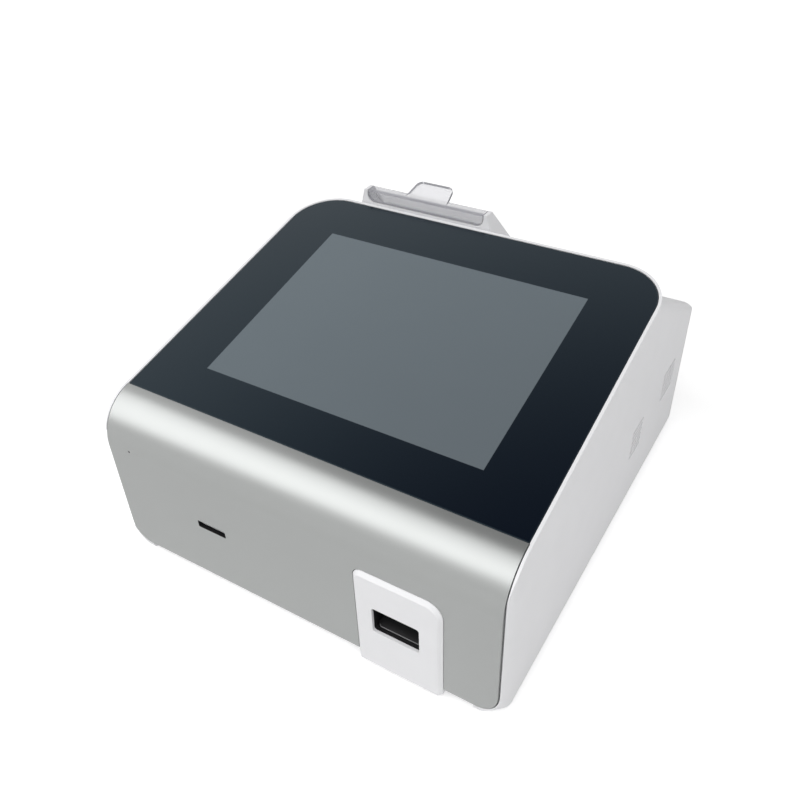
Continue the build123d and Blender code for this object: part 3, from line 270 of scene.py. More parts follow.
def laminate(name, colour, top):
    """Circuit board under green solder mask, with faint tracks; black moulded components above its top."""
    tree = Tree(name)
    tracks = tree.add("TexVoronoi", feature="DISTANCE_TO_EDGE")
    tree.join(tree.place, tracks.inputs["Vector"])
    tracks.inputs["Scale"].default_value = 260.0
    track_width = 0.06
    clear_of_top = 0.0001
    component = (0.012, 0.012, 0.013)
    line = tree.value("LESS_THAN", tracks.outputs["Distance"], track_width)
    mask = tree.blend(line, colour, shade(colour, 1.6))
    above = tree.value("GREATER_THAN", tree.split()[2], top + clear_of_top)
    grain = tree.noise(4000.0, detail=2.0, roughness=0.6)
    tree.surface(base_color=tree.blend(above, mask, component), roughness=tree.between(above, 0.3, 0.45),
                 normal=tree.bump(grain, strength=0.1, distance=0.00002))
    return tree.material


def rubber(name, colour):
    """Matte black rubber."""
    tree = Tree(name)
    fine = tree.noise(3000.0, detail=3.0, roughness=0.7)
    tree.surface(base_color=tree.blend(fine, shade(colour, 0.7), colour), roughness=0.85,
                 normal=tree.bump(fine, strength=0.3, distance=0.00004))
    return tree.material


def wound_paper(name, colour):
    """Thermal paper, with fine rings on the roll's ends."""
    tree = Tree(name)
    ring_rate = 9000.0
    x, y, z = tree.split()
    low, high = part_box("paper_roll")
    middle = (low + high) / 2
    dy = tree.value("SUBTRACT", y, middle.y)
    dz = tree.value("SUBTRACT", z, middle.z)
    squares = tree.value("ADD", tree.value("MULTIPLY", dy, dy), tree.value("MULTIPLY", dz, dz))
    rings = tree.value("SINE", tree.value("MULTIPLY", tree.value("SQRT", squares), ring_rate))
    tree.surface(base_color=tree.blend(tree.between(rings, 0.0, 1.0), shade(colour, 0.93), colour),
                 roughness=0.7, normal=tree.bump(rings, strength=0.1, distance=0.00003))
    return tree.material


# Sizes and colours

class FinishSettings(bpy.types.PropertyGroup):
    """Colours and gloss"""
    white: FloatVectorProperty(name="White plastic", description="Housing, bezel and printer pod",
                               subtype="COLOR", default=(0.80, 0.80, 0.815), min=0.0, max=1.0)
    silver: FloatVectorProperty(name="Silver paint", description="Front cover", subtype="COLOR",
                                default=(0.42, 0.43, 0.425), min=0.0, max=1.0)
    border: FloatVectorProperty(name="Glass border", description="Print on the back of the touch glass",
                                subtype="COLOR", default=(0.002, 0.0035, 0.009), min=0.0, max=1.0)
    screen: FloatVectorProperty(name="Unlit screen", description="Screen seen through the glass",
                                subtype="COLOR", default=(0.120, 0.140, 0.156), min=0.0, max=1.0)
    clear: FloatVectorProperty(name="Clear plastic", description="Printer door", subtype="COLOR",
                               default=(0.80, 0.80, 0.84), min=0.0, max=1.0)
    # painted shade: the dark grey given to the clear door's edge faces stands for the dark outline that light
    # gives the edges of clear plastic
    clear_edge_painted_shade: FloatVectorProperty(name="Clear edge", description="Clear mouldings seen edge on",
                                    subtype="COLOR", default=(0.19, 0.19, 0.22), min=0.0, max=1.0)
    # painted shade: the near-black colour on the card slot's walls in the white housing and the silver cover
    # stands for the shade deep inside the slot
    slot: FloatVectorProperty(name="Slot painted_darkness", description="Walls of the card slot", subtype="COLOR",
                              default=(0.01, 0.01, 0.011), min=0.0, max=1.0)
    silver_roughness: FloatProperty(name="Silver roughness",
                                    description="Spread of the front cover's highlight", default=0.37,
                                    min=0.0, max=1.0, subtype="FACTOR")
    glass_roughness: FloatProperty(name="Glass roughness", description="Spread of the glass's reflections",
                                   default=0.16, min=0.0, max=1.0, subtype="FACTOR")


class ShapeSettings(bpy.types.PropertyGroup):
    """Sizes that the finishes and patterns need"""
    screen_half_width: FloatProperty(name="Screen half width", description="Screen's centre to its side edge",
                                     default=0.081, min=0.01, unit="LENGTH")
    screen_half_height: FloatProperty(name="Screen half height",
                                      description="Screen's centre to its upper edge", default=0.06075,
                                      min=0.01, unit="LENGTH")
    screen_centre: FloatProperty(name="Screen centre",
                                 description="Glass's lower edge to the screen's centre", default=0.0862,
                                 min=0.01, unit="LENGTH")
    frame_depth: FloatProperty(name="Frame depth",
                               description="Glass's face to the back of the display frame", default=0.0101,
                               min=0.001, unit="LENGTH")
    card_slot_low: FloatVectorProperty(name="Card slot from",
                                       description="Corner of the space left for the card",
                                       default=(-0.0605, -0.14, 0.0435), size=3, unit="LENGTH")
    card_slot_high: FloatVectorProperty(name="Card slot to",
                                        description="Opposite corner of the card's space",
                                        default=(-0.0395, -0.1, 0.0505), size=3, unit="LENGTH")
    edge_round: FloatProperty(name="Edge rounding", description="Rounding on moulded edges", default=0.0004,
                              min=0.0, unit="LENGTH")
    thin_edge_round: FloatProperty(name="Thin edge rounding",
                                   description="Rounding on the cover and the glass", default=0.0003,
                                   min=0.0, unit="LENGTH")


class StageSettings(bpy.types.PropertyGroup):
    """Light and floor"""
    front_power: FloatProperty(name="Front light", description="Power of the large front light", default=18.3,
                               min=0.0, unit="POWER")
    side_power: FloatProperty(name="Side light", description="Power of the smaller light at the right",
                              default=9.0, min=0.0, unit="POWER")
    world_level: FloatProperty(name="World level", description="Light from all round", default=0.37, min=0.0)
    floor: BoolProperty(name="Floor", description="Lay the pale floor", default=True)


# Pieces

def smooth_shaded(mesh, angle):
    """Smooth faces, with edges that turn more than the angle kept sharp."""
    for face in mesh.polygons:
        face.use_smooth = True
    mesh.set_sharp_from_angle(angle=math.radians(angle))


def apply_modifiers(piece):
    """A piece's mesh as its modifiers make it, without them."""
    seen = piece.evaluated_get(bpy.context.evaluated_depsgraph_get())
    mesh = bpy.data.meshes.new_from_object(seen)
    piece.modifiers.clear()
    piece.data = mesh


class Pattern:
    """A geometry node tree with named sizes as its inputs, turned into a plain mesh."""

    SOCKETS = {int: "NodeSocketInt", float: "NodeSocketFloat", tuple: "NodeSocketVector"}

    def __init__(self, name, material, **sizes):
        self.name = name
        self.tree = bpy.data.node_groups.new(name, "GeometryNodeTree")
        self.tree.interface.new_socket("Geometry", in_out="OUTPUT", socket_type="NodeSocketGeometry")
        self.values = {}
        for label, value in sizes.items():
            self.input(label, self.SOCKETS[type(value)], value)
        self.input("Material", "NodeSocketMaterial", material)
        self.given = self.tree.nodes.new("NodeGroupInput").outputs

    def input(self, label, kind, value):
        """One of the tree's inputs, and the value it will have."""
        socket = self.tree.interface.new_socket(label, in_out="INPUT", socket_type=kind)
        self.values[socket.identifier] = value

    def give(self, socket, value):
        """A link or a plain value for a socket."""
        if isinstance(value, bpy.types.NodeSocket):
            self.tree.links.new(value, socket)
        else:
            socket.default_value = value

    def add(self, kind, **inputs):
        """A geometry node; an input's name has its spaces as underscores."""
        node = self.tree.nodes.new("GeometryNode" + kind)
        for label, value in inputs.items():
            self.give(node.inputs[label.replace("_", " ")], value)
        return node.outputs[0]

    def join(self, *geometry):
        """Several geometries as one."""
        node = self.tree.nodes.new("GeometryNodeJoinGeometry")
        for item in geometry:
            self.tree.links.new(item, node.inputs[0])
        return node.outputs[0]

    def cut(self, body, *tools):
        """A mesh with other meshes taken out of it."""
        node = self.tree.nodes.new("GeometryNodeMeshBoolean")
        node.operation = "DIFFERENCE"
        self.tree.links.new(body, node.inputs["Mesh 1"])
        for tool in tools:
            self.tree.links.new(tool, node.inputs["Mesh 2"])
        return node.outputs[0]

    def thread(self, radius, wire, height, turns, steps):
        """A round ridge wound about Z, in a number of steps to the turn."""
        coil = self.add("CurveSpiral", Resolution=steps, Rotations=turns, Start_Radius=radius,
                        End_Radius=radius, Height=height)
        section = self.add("CurvePrimitiveCircle", Resolution=6, Radius=wire)
        return self.add("CurveToMesh", Curve=coil, Profile_Curve=section, Fill_Caps=True)

    def finish(self, geometry, node):
        """Realizes the pattern, gives it its material, and lets it ride with a CAD node's body."""
        real = self.add("RealizeInstances", Geometry=geometry)
        painted = self.add("SetMaterial", Geometry=real, Material=self.given["Material"])
        output = self.tree.nodes.new("NodeGroupOutput")
        self.tree.links.new(painted, output.inputs[0])
        piece = bpy.data.objects.new(self.name, bpy.data.meshes.new(self.name + "_start"))
        bpy.context.scene.collection.objects.link(piece)
        modifier = piece.modifiers.new("pattern", "NODES")
        modifier.node_group = self.tree
        for identifier, value in self.values.items():
            modifier[identifier] = value
        apply_modifiers(piece)
        if not piece.data.polygons:
            raise RuntimeError(self.name + " came out empty")
        smooth_shaded(piece.data, SHARP_ANGLE)
        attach(piece, NODE_BODY[node])
        return piece


def cross_head_screws(name, node, material, centre, turn, spacing, counts, head, shank):
    """Screws on a grid, with a cross recess in each head and a thread on each shank."""
    head_radius, head_height = head
    shank_radius, shank_length = shank
    top_radius = head_radius * 0.72
    slot_length = head_radius * 1.15
    slot_width = head_radius * 0.26
    slot_rise = head_height * 0.95
    core_radius = shank_radius * 0.78
    ridge_radius = shank_radius * 0.8
    ridge_wire = shank_radius * 0.2
    ridge_length = shank_length * 0.92
    ridge_start = -shank_length * 0.96
    screws = Pattern(name, material, Spacing_X=spacing[0], Spacing_Y=spacing[1], Columns=counts[0],
                     Rows=counts[1], Head_Radius=head_radius, Head_Height=head_height,
                     Shank_Length=shank_length, Turns=shank_length / SCREW_PITCH, Centre=tuple(centre),
                     Turn=(turn, 0.0, 0.0))
    given = screws.given
    dome = screws.add("MeshCone", Vertices=28, Radius_Top=top_radius, Radius_Bottom=given["Head_Radius"],
                      Depth=given["Head_Height"])
    bars = []
    for size in ((slot_length, slot_width, head_height), (slot_width, slot_length, head_height)):
        bar = screws.add("MeshCube", Size=size)
        bars.append(screws.add("Transform", Geometry=bar, Translation=(0.0, 0.0, slot_rise)))
    top = screws.cut(dome, *bars)
    core = screws.add("MeshCylinder", Vertices=14, Radius=core_radius, Depth=given["Shank_Length"])
    core = screws.add("Transform", Geometry=core, Translation=(0.0, 0.0, -shank_length / 2))
    ridge = screws.thread(ridge_radius, ridge_wire, ridge_length, given["Turns"], steps=12)
    ridge = screws.add("Transform", Geometry=ridge, Translation=(0.0, 0.0, ridge_start))
    screw = screws.join(top, core, ridge)
    places = screws.add("MeshGrid", Size_X=given["Spacing_X"], Size_Y=given["Spacing_Y"],
                        Vertices_X=given["Columns"], Vertices_Y=given["Rows"])
    all_screws = screws.add("InstanceOnPoints", Points=places, Instance=screw)
    placed = screws.add("Transform", Geometry=all_screws, Translation=given["Centre"], Rotation=given["Turn"])
    piece = screws.finish(placed, node)
    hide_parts(node)


def inside_socket(node, from_back, from_below):
    """The middle of a socket's width, at distances from its rear face and its underside."""
    low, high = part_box(node)
    return ((low.x + high.x) / 2, high.y - from_back, low.z + from_below)


def contact_rows(name, node, material, centre, counts, spacing, size, turn=0.0):
    """Rows of like contacts on a grid in X and Z."""
    contacts = Pattern(name, material, Columns=counts[0], Rows=counts[1], Spacing_X=spacing[0],
                       Spacing_Z=spacing[1], Size=tuple(size), Centre=tuple(centre), Turn=(turn, 0.0, 0.0))
    given = contacts.given
    places = contacts.add("MeshGrid", Size_X=given["Spacing_X"], Size_Y=given["Spacing_Z"],
                          Vertices_X=given["Columns"], Vertices_Y=given["Rows"])
    upright = contacts.add("Transform", Geometry=places, Rotation=(math.pi / 2, 0.0, 0.0))
    blade = contacts.add("MeshCube", Size=given["Size"])
    row = contacts.add("InstanceOnPoints", Points=upright, Instance=blade, Rotation=given["Turn"])
    piece = contacts.finish(contacts.add("Transform", Geometry=row, Translation=given["Centre"]), node)


def chip_legs(name, node, material, centre, width, depth, count):
    """Legs along a chip's outline, each square to its side."""
    legs = Pattern(name, material, Width=width, Depth=depth, Count=count, Centre=tuple(centre), Leg=LEG_SIZE)
    given = legs.given
    outline = legs.add("CurvePrimitiveQuadrilateral", Width=given["Width"], Height=given["Depth"])
    points = legs.tree.nodes.new("GeometryNodeCurveToPoints")
    legs.give(points.inputs["Curve"], outline)
    legs.give(points.inputs["Count"], given["Count"])
    leg = legs.add("MeshCube", Size=given["Leg"])
    row = legs.add("InstanceOnPoints", Points=points.outputs["Points"], Instance=leg,
                   Rotation=points.outputs["Rotation"])
    piece = legs.finish(legs.add("Transform", Geometry=row, Translation=given["Centre"]), node)


def threaded_spindle(material, starts=4, lead=0.008, depth=0.0005, collar=0.004):
    """The lead screw: a core, its thread in several starts, plain ends and a collar."""
    low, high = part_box("lead_screw")
    shoulder = 0.0015
    radius = (high.z - low.z) / 2 - shoulder
    length = high.y - low.y
    ends = (0.012, 0.014)
    collar_width = 0.002
    wound = length - sum(ends)
    spindle = Pattern("lead_screw_thread", material, Radius=radius, Length=length, Core=radius - depth,
                      Collar=collar, Turns=wound / lead, Starts=starts,
                      Centre=(low.x + collar, low.y, low.z + collar))
    given = spindle.given
    core = spindle.add("MeshCylinder", Vertices=24, Radius=given["Core"], Depth=given["Length"])
    parts = [spindle.add("Transform", Geometry=core, Translation=(0.0, 0.0, length / 2))]
    for size, start, stop in ((given["Collar"], 0.0, collar_width), (given["Radius"], collar_width, ends[0]),
                              (given["Radius"], length - ends[1], length)):
        step = spindle.add("MeshCylinder", Vertices=32, Radius=size, Depth=stop - start)
        parts.append(spindle.add("Transform", Geometry=step, Translation=(0.0, 0.0, (start + stop) / 2)))
    ridge = spindle.thread(given["Core"], depth, wound, given["Turns"], steps=16)
    ridge = spindle.add("Transform", Geometry=ridge, Translation=(0.0, 0.0, ends[0]))
    ring = spindle.add("MeshCircle", Vertices=given["Starts"], Radius=0.0)
    index = spindle.tree.nodes.new("GeometryNodeInputIndex").outputs[0]
    share = spindle.tree.nodes.new("ShaderNodeMath")
    share.operation = "MULTIPLY"
    spindle.give(share.inputs[0], index)
    spindle.give(share.inputs[1], 2 * math.pi / starts)
    spin = spindle.tree.nodes.new("ShaderNodeCombineXYZ")
    spindle.give(spin.inputs["Z"], share.outputs[0])
    parts.append(spindle.add("InstanceOnPoints", Points=ring, Instance=ridge, Rotation=spin.outputs[0]))
    laid = spindle.add("Transform", Geometry=spindle.join(*parts), Translation=given["Centre"],
                       Rotation=(-math.pi / 2, 0.0, 0.0))
    piece = spindle.finish(laid, "lead_screw")
    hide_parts("lead_screw")


def dressed(node, material, name, round_by=0.0, angle=SHARP_ANGLE):
    """A piece that stands for a CAD node: its mesh merged, its edges rounded, its curves smooth."""
    work = bmesh.new()
    work.from_mesh(frame["nodes"][node].data)
    bmesh.ops.remove_doubles(work, verts=work.verts, dist=WELD_DISTANCE)
    bmesh.ops.dissolve_limit(work, angle_limit=FLAT_ANGLE, verts=work.verts, edges=work.edges)
    mesh = bpy.data.meshes.new(name)
    work.to_mesh(mesh)
    work.free()
    smooth_shaded(mesh, angle)
    piece = bpy.data.objects.new(name, mesh)
    bpy.context.scene.collection.objects.link(piece)
    if round_by:
        edge = piece.modifiers.new("edges", "BEVEL")
        edge.width = round_by
        edge.segments = 2
        edge.limit_method = "ANGLE"
        edge.angle_limit = math.radians(angle)
        edge.use_clamp_overlap = True
    even = piece.modifiers.new("normals", "WEIGHTED_NORMAL")
    even.keep_sharp = True
    apply_modifiers(piece)
    piece.data.materials.clear()
    piece.data.materials.append(material)
    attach(piece, NODE_BODY[node])
    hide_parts(node)
    return piece


def edge_finish(piece, material, chosen):
    """A second material on the faces of a piece for which chosen(face) is true."""
    piece.data.materials.append(material)
    for face in piece.data.polygons:
        if chosen(face):
            face.material_index = 1


def in_card_slot(size):
    """A test for faces that line the card slot: within its box, and not facing the front or the back."""
    low, high = size.card_slot_low, size.card_slot_high

    def lines_slot(face):
        inside = all(low[i] < face.center[i] < high[i] for i in range(3))
        across = abs(face.normal.y) < 0.7
        return inside and across
    return lines_slot


def on_door_edge(low):
    """A test for the faces that show the clear door's thickness; low is its box's lower corner."""
    tip = Vector((0.0, math.cos(TAB_LEAN), math.sin(TAB_LEAN)))
    lip_depth = 0.004

    def shows_thickness(face):
        at_side = abs(face.normal.x) > 0.25
        at_tip = face.normal.dot(tip) > 0.99
        under_lip = face.normal.z < -0.9 and face.center.y < low.y + lip_depth
        return at_side or at_tip or under_lip
    return shows_thickness


def faces_front(face):
    """A test for faces turned to the operator."""
    return face.normal.y < -0.9


def paint(node, material):
    """Gives a CAD node its finish."""
    thing = frame["nodes"][node]
    thing.data.materials.clear()
    thing.data.materials.append(material)


class ANALYZER_OT_mouldings(bpy.types.Operator):
    """White housing and printer pod"""
    bl_idname = "analyzer.mouldings"
    bl_label = "Mouldings"

    def execute(self, context):
        look = context.scene.analyzer_finish
        size = context.scene.analyzer_shape
        white = moulded("white_plastic", look.white)
        housing = dressed("housing", white, "housing_moulding", size.edge_round)
        # painted shade on the card slot's walls in the housing
        edge_finish(housing, moulded("slot_walls_painted_shade", look.slot, 0.5), in_card_slot(size))
        dressed("printer_pod", white, "pod_moulding", size.edge_round)
        dressed("cassette_bezel", white, "bezel_moulding", size.edge_round)
        return {"FINISHED"}


class ANALYZER_OT_cover(bpy.types.Operator):
    """Silver front cover"""
    bl_idname = "analyzer.cover"
    bl_label = "Front cover"

    def execute(self, context):
        look = context.scene.analyzer_finish
        size = context.scene.analyzer_shape
        silver = silver_paint("silver_paint", look.silver, look.silver_roughness)
        cover = dressed("front_cover", silver, "cover_shell", size.thin_edge_round)
        # painted shade on the card slot's walls in the cover
        edge_finish(cover, moulded("slot_edge_painted_shade", look.slot, 0.5), in_card_slot(size))
        return {"FINISHED"}


class ANALYZER_OT_display(bpy.types.Operator):
    """Touch glass, screen and its frame"""
    bl_idname = "analyzer.display"
    bl_label = "Display"

    def execute(self, context):
        look = context.scene.analyzer_finish
        size = context.scene.analyzer_shape
        glass = printed_glass("touch_glass_print", look.border, look.screen, size.screen_half_width,
                              size.screen_half_height, size.screen_centre, look.glass_roughness)
        dressed("touch_glass", glass, "glass_pane", size.thin_edge_round, angle=30.0)
        paint("lcd_module", moulded("screen_back", (0.05, 0.05, 0.055), 0.3))
        paint("display_frame", metal("zinc_sheet", (0.6, 0.6, 0.62), 0.35, brushed=0.05))
        middle = GLASS_EDGE + ALONG_GLASS * size.screen_centre - GLASS_NORMAL * size.frame_depth
        cross_head_screws("frame_screws", "display_screws", metal("frame_screw_plate", (0.6, 0.6, 0.6), 0.25),
                          middle, turn=math.pi + TILT, spacing=(0.2, 0.12), counts=(2, 2),
                          head=(0.0028, 0.0018), shank=(0.0012, 0.0046))
        return {"FINISHED"}


class ANALYZER_OT_cassette_port(bpy.types.Operator):
    """Guide tube, carriage and its drive"""
    bl_idname = "analyzer.cassette_port"
    bl_label = "Cassette port"

    def execute(self, context):
        black = moulded("black_plastic", (0.012, 0.012, 0.013), 0.4)
        grey = moulded("grey_plastic", (0.11, 0.11, 0.115), 0.4)
        aluminium = metal("blasted_aluminium", (0.72, 0.73, 0.75), 0.4)
        steel = metal("ground_steel", (0.66, 0.66, 0.67), 0.18)
        for node in ("cassette_guide", "optical_head", "card_socket", "power_inlet", "rocker_frame"):
            dressed(node, black, node + "_moulding")
        dressed("slider_block", grey, "slider_block_moulding")
        # painted light and shade: the tray is near-black for the shade inside the slot, and its front faces
        # are a lighter grey for the light that reaches them
        dark = moulded("tray_painted_shade", (0.02, 0.02, 0.021), 0.4)
        tray = dressed("carriage_tray", dark, "carriage_tray_moulding")
        edge_finish(tray, moulded("tray_front_painted_light", (0.16, 0.16, 0.165), 0.35), faces_front)
        for node in ("transport_bed", "head_bridge", "thermal_head"):
            paint(node, aluminium)
        for node in ("guide_rods", "door_pins"):
            dressed(node, steel, node + "_ground")
        threaded_spindle(steel)
        paint("transport_motor", metal("motor_can", (0.3, 0.3, 0.31), 0.4))
        paint("screw_nut", metal("turned_brass", (0.7, 0.5, 0.2), 0.3))
        paint("objective_lens", lens_glass("coated_lens", (0.9, 0.95, 0.97)))
        return {"FINISHED"}


class ANALYZER_OT_printer(bpy.types.Operator):
    """Printer door, paper and platen"""
    bl_idname = "analyzer.printer"
    bl_label = "Label printer"

    def execute(self, context):
        look = context.scene.analyzer_finish
        pale = moulded("pale_grey_plastic", (0.55, 0.55, 0.57), 0.45)
        door = dressed("printer_door", clear_sheet("clear_door", look.clear, 0.08), "door_moulding")
        # painted shade on the faces that show the clear door's thickness
        edge = moulded("door_edge_painted_shade", look.clear_edge_painted_shade, 0.2)
        edge_finish(door, edge, on_door_edge(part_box("printer_door")[0]))
        for node in ("paper_cradle", "platen_bracket"):
            dressed(node, pale, node + "_moulding")
        dressed("paper_spindle", moulded("spindle_plastic", (0.3, 0.3, 0.32), 0.4), "spindle_moulding")
        dressed("paper_roll", wound_paper("label_paper", (0.82, 0.82, 0.8)), "label_roll")
        dressed("platen_roller", rubber("platen_rubber", (0.03, 0.03, 0.03)), "platen_sleeve")
        return {"FINISHED"}


class ANALYZER_OT_back(bpy.types.Operator):
    """Rear panel and sockets"""
    bl_idname = "analyzer.back"
    bl_label = "Rear panel"

    def execute(self, context):
        paint("rear_panel", metal("panel_sheet", (0.62, 0.62, 0.64), 0.38, brushed=0.1))
        shell = metal("connector_shell", (0.68, 0.68, 0.69), 0.28)
        for node in ("usb_socket", "network_socket", "serial_socket"):
            paint(node, shell)
        dressed("power_rocker", moulded("rocker_plastic", (0.015, 0.015, 0.015), 0.3), "rocker_paddle")
        gold = metal("gold_contacts", (0.85, 0.62, 0.25), 0.2)
        centre = inside_socket("network_socket", from_back=0.007, from_below=0.0102)
        contact_rows("network_contacts", "network_socket", gold, centre, counts=(8, 1),
                     spacing=(0.0071, 0.0), size=(0.00035, 0.007, 0.00025), turn=math.radians(-14))
        low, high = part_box("usb_socket")
        height = high.z - low.z
        centre = inside_socket("usb_socket", from_back=0.0065, from_below=height / 2 - 0.00025)
        contact_rows("usb_contacts", "usb_socket", gold, centre, counts=(4, 2),
                     spacing=(0.007, height - 0.008), size=(0.001, 0.0095, 0.0001))
        centre = inside_socket("card_socket", from_back=0.006, from_below=0.0077)
        contact_rows("card_contacts", "card_socket", gold, centre, counts=(8, 1),
                     spacing=(0.0128, 0.0), size=(0.0009, 0.006, 0.0002), turn=math.radians(6))
        return {"FINISHED"}


class ANALYZER_OT_base(bpy.types.Operator):
    """Base plate, feet and screws"""
    bl_idname = "analyzer.base"
    bl_label = "Base"

    def execute(self, context):
        paint("base_plate", metal("base_sheet", (0.58, 0.58, 0.6), 0.4, brushed=0.05))
        dressed("rubber_feet", rubber("foot_rubber", (0.02, 0.02, 0.02)), "feet")
        low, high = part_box("base_screws")
        head_radius, head_height = 0.0028, 0.0016
        middle = ((low.x + high.x) / 2, (low.y + high.y) / 2, low.z + head_height)
        spacing = (high.x - low.x - 2 * head_radius,
                   high.y - low.y - 2 * head_radius * math.cos(math.pi / 6))
        cross_head_screws("plate_screws", "base_screws", metal("base_screw_plate", (0.55, 0.55, 0.55), 0.25),
                          middle, turn=math.pi, spacing=spacing, counts=(2, 3),
                          head=(head_radius, head_height), shank=(0.0012, 0.008))
        return {"FINISHED"}


class ANALYZER_OT_boards(bpy.types.Operator):
    """Circuit boards and supply"""
    bl_idname = "analyzer.boards"
    bl_label = "Boards"

    def execute(self, context):
        green = (0.01, 0.09, 0.04)
        board = 0.0016
        supply_lift = 0.005
        for node, top in (("main_board", board), ("sensor_board", board), ("io_board", board),
                          ("power_supply", supply_lift + board)):
            paint(node, laminate(node + "_laminate", green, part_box(node)[0].z + top))
        paint("board_spacers", metal("spacer_brass", (0.7, 0.5, 0.2), 0.3))
        tin = metal("tinned_legs", (0.7, 0.7, 0.68), 0.25)
        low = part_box("main_board")[0]
        stand_off = 0.0003
        past_chip = 0.0012
        for name, x, y, width, depth, count in (("processor", 0.072, 0.052, 0.024, 0.024, 64),
                                                ("memory", 0.030, 0.060, 0.016, 0.011, 28),
                                                ("driver", 0.030, 0.040, 0.016, 0.011, 28)):
            centre = (low.x + x, low.y + y, low.z + board + stand_off)
            chip_legs(name + "_legs", "main_board", tin, centre, width + past_chip, depth + past_chip, count)
        return {"FINISHED"}


def area_light(name, power, size, place, target, roll=0.0):
    """A soft light aimed at a point, turned about its own axis by roll degrees."""
    light = bpy.data.lights.new(name, "AREA")
    light.shape = "RECTANGLE"
    light.size, light.size_y = size
    light.energy = power
    lamp = bpy.data.objects.new(name, light)
    bpy.context.scene.collection.objects.link(lamp)
    lamp.location = place
    aim = (Vector(target) - Vector(place)).to_track_quat("-Z", "Y")
    lamp.rotation_euler = (aim @ Quaternion((0.0, 0.0, 1.0), math.radians(roll))).to_euler()


def studio_world(level):
    """Even light; white to the camera, and a pale horizon with a darker ceiling in reflections."""
    world = bpy.data.worlds.new("studio_world")
    bpy.context.scene.world = world
    world.use_nodes = True
    nodes = world.node_tree.nodes
    links = world.node_tree.links
    nodes.clear()
    output = nodes.new("ShaderNodeOutputWorld")
    path = nodes.new("ShaderNodeLightPath")
    place = nodes.new("ShaderNodeTexCoord")
    split = nodes.new("ShaderNodeSeparateXYZ")
    links.new(place.outputs["Generated"], split.inputs[0])
    height = nodes.new("ShaderNodeMapRange")
    height.interpolation_type = "SMOOTHSTEP"
    # how high in the sky the mirrored light starts and ends its fall, and its levels there
    for label, value in (("From Min", 0.66), ("From Max", 0.97), ("To Min", 0.85), ("To Max", 0.03)):
        height.inputs[label].default_value = value
    links.new(split.outputs["Z"], height.inputs["Value"])
    even = nodes.new("ShaderNodeBackground")
    even.inputs["Strength"].default_value = level
    mirrored = nodes.new("ShaderNodeBackground")
    links.new(height.outputs["Result"], mirrored.inputs["Strength"])
    white = nodes.new("ShaderNodeBackground")
    white.inputs["Strength"].default_value = 1.0
    for node in (even, mirrored, white):
        node.inputs["Color"].default_value = (1, 1, 1, 1)
    first = nodes.new("ShaderNodeMixShader")
    links.new(path.outputs["Is Glossy Ray"], first.inputs["Fac"])
    links.new(even.outputs[0], first.inputs[1])
    links.new(mirrored.outputs[0], first.inputs[2])
    seen = nodes.new("ShaderNodeMath")
    seen.operation = "MAXIMUM"
    links.new(path.outputs["Is Camera Ray"], seen.inputs[0])
    links.new(path.outputs["Is Transmission Ray"], seen.inputs[1])
    second = nodes.new("ShaderNodeMixShader")
    links.new(seen.outputs[0], second.inputs["Fac"])
    links.new(first.outputs[0], second.inputs[1])
    links.new(white.outputs[0], second.inputs[2])
    links.new(second.outputs[0], output.inputs["Surface"])


def floor_material():
    """Pale floor that shows white, and darker only in the object's shadow."""
    tree = Tree("pale_floor")
    mirrored_share = 0.25
    fine = tree.noise(40.0, detail=2.0, roughness=0.5)
    diffuse = tree.add("BsdfDiffuse")
    tree.join(tree.blend(fine, (0.79, 0.79, 0.79), (0.81, 0.81, 0.81)), diffuse.inputs["Color"])
    glow = tree.add("Emission")
    distance = tree.add("VectorMath", operation="LENGTH")
    tree.join(tree.place, distance.inputs[0])
    far = tree.add("MapRange", interpolation_type="SMOOTHSTEP")
    # how far from the object the glow starts and ends its rise, and its levels there
    for label, value in (("From Min", 0.5), ("From Max", 2.0), ("To Min", 0.45), ("To Max", 1.0)):
        far.inputs[label].default_value = value
    tree.join(distance.outputs["Value"], far.inputs["Value"])
    tree.join(far.outputs["Result"], glow.inputs["Strength"])
    path = tree.add("LightPath")
    faint = tree.value("MULTIPLY", path.outputs["Is Glossy Ray"], mirrored_share)
    seen = tree.value("MAXIMUM", path.outputs["Is Camera Ray"],
                      tree.value("MAXIMUM", faint, path.outputs["Is Transmission Ray"]))
    dark = tree.add("Emission")
    dark.inputs["Strength"].default_value = 0.0
    pick = tree.add("MixShader")
    tree.join(seen, pick.inputs["Fac"])
    tree.join(dark.outputs[0], pick.inputs[1])
    tree.join(glow.outputs[0], pick.inputs[2])
    total = tree.add("AddShader")
    tree.join(diffuse.outputs[0], total.inputs[0])
    tree.join(pick.outputs[0], total.inputs[1])
    tree.join(total.outputs[0], tree.output.inputs["Surface"])
    return tree.material


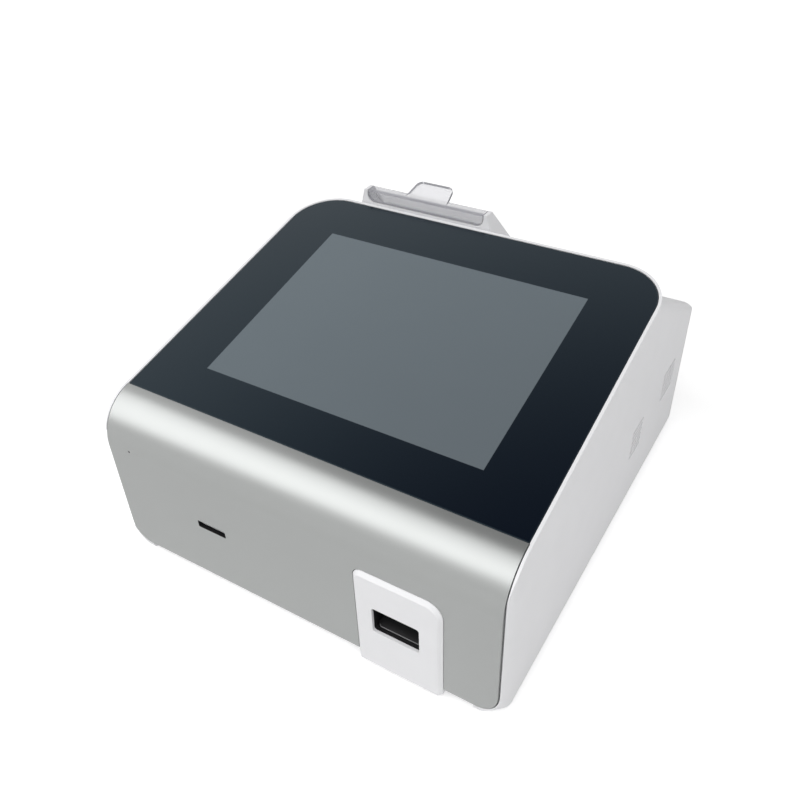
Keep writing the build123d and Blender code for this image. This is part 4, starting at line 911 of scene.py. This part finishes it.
class ANALYZER_OT_stage(bpy.types.Operator):
    """Floor, lights and camera"""
    bl_idname = "analyzer.stage"
    bl_label = "Stage"

    def execute(self, context):
        stage = context.scene.analyzer_stage
        if stage.floor:
            mesh = bpy.data.meshes.new("floor")
            sides = ((-1, -1), (1, -1), (1, 1), (-1, 1))
            corners = [(x * FLOOR_REACH, y * FLOOR_REACH, 0) for x, y in sides]
            mesh.from_pydata(corners, [], [(0, 1, 2, 3)])
            floor = bpy.data.objects.new("floor", mesh)
            bpy.context.scene.collection.objects.link(floor)
            mesh.materials.append(floor_material())
        studio_world(stage.world_level)
        area_light("front_light", stage.front_power, size=(2.4, 1.45), place=(-0.45, -0.87, 1.18),
                   target=(0.0, -0.05, 0.08), roll=22.0)
        area_light("side_light", stage.side_power, size=(1.0, 1.0), place=(1.3, -0.5, 1.2),
                   target=(0.0, 0.0, 0.05))
        camera = bpy.data.cameras.new("camera")
        camera.sensor_width = CAMERA_SENSOR
        camera.lens = CAMERA_LENS
        camera.clip_start = 0.01
        holder = bpy.data.objects.new("camera", camera)
        context.scene.collection.objects.link(holder)
        holder.location = CAMERA_PLACE
        holder.rotation_euler = Euler([math.radians(angle) for angle in CAMERA_TURN], "XYZ")
        context.scene.camera = holder
        context.scene.view_settings.view_transform = "Standard"
        return {"FINISHED"}


class ANALYZER_PT_panel(bpy.types.Panel):
    """Settings, and a button for each part"""
    bl_label = "Immunoassay analyzer"
    bl_idname = "ANALYZER_PT_panel"
    bl_space_type = "VIEW_3D"
    bl_region_type = "UI"
    bl_category = "Analyzer"

    def draw(self, context):
        for group in (getattr(context.scene, name) for name in GROUPS):
            for name in group.bl_rna.properties.keys():
                if name not in ("rna_type", "name"):
                    self.layout.prop(group, name)
        for operator in OPERATORS:
            self.layout.operator(operator.bl_idname)


OPERATORS = (ANALYZER_OT_mouldings, ANALYZER_OT_cover, ANALYZER_OT_display, ANALYZER_OT_cassette_port,
             ANALYZER_OT_printer, ANALYZER_OT_back, ANALYZER_OT_base, ANALYZER_OT_boards, ANALYZER_OT_stage)
GROUPS = {"analyzer_finish": FinishSettings, "analyzer_shape": ShapeSettings, "analyzer_stage": StageSettings}


def register():
    """Makes the settings, operators and panel known."""
    for item in (*GROUPS.values(), *OPERATORS, ANALYZER_PT_panel):
        bpy.utils.register_class(item)
    for name, group in GROUPS.items():
        setattr(bpy.types.Scene, name, PointerProperty(type=group))


def unregister():
    """Takes the settings, operators and panel away."""
    for name in GROUPS:
        delattr(bpy.types.Scene, name)
    for item in reversed((*GROUPS.values(), *OPERATORS, ANALYZER_PT_panel)):
        bpy.utils.unregister_class(item)


def main():
    """Builds every part and the stage."""
    register()
    bpy.ops.analyzer.mouldings()
    bpy.ops.analyzer.cover()
    bpy.ops.analyzer.display()
    bpy.ops.analyzer.cassette_port()
    bpy.ops.analyzer.printer()
    bpy.ops.analyzer.back()
    bpy.ops.analyzer.base()
    bpy.ops.analyzer.boards()
    bpy.ops.analyzer.stage()


if __name__ == "__main__":
    main()
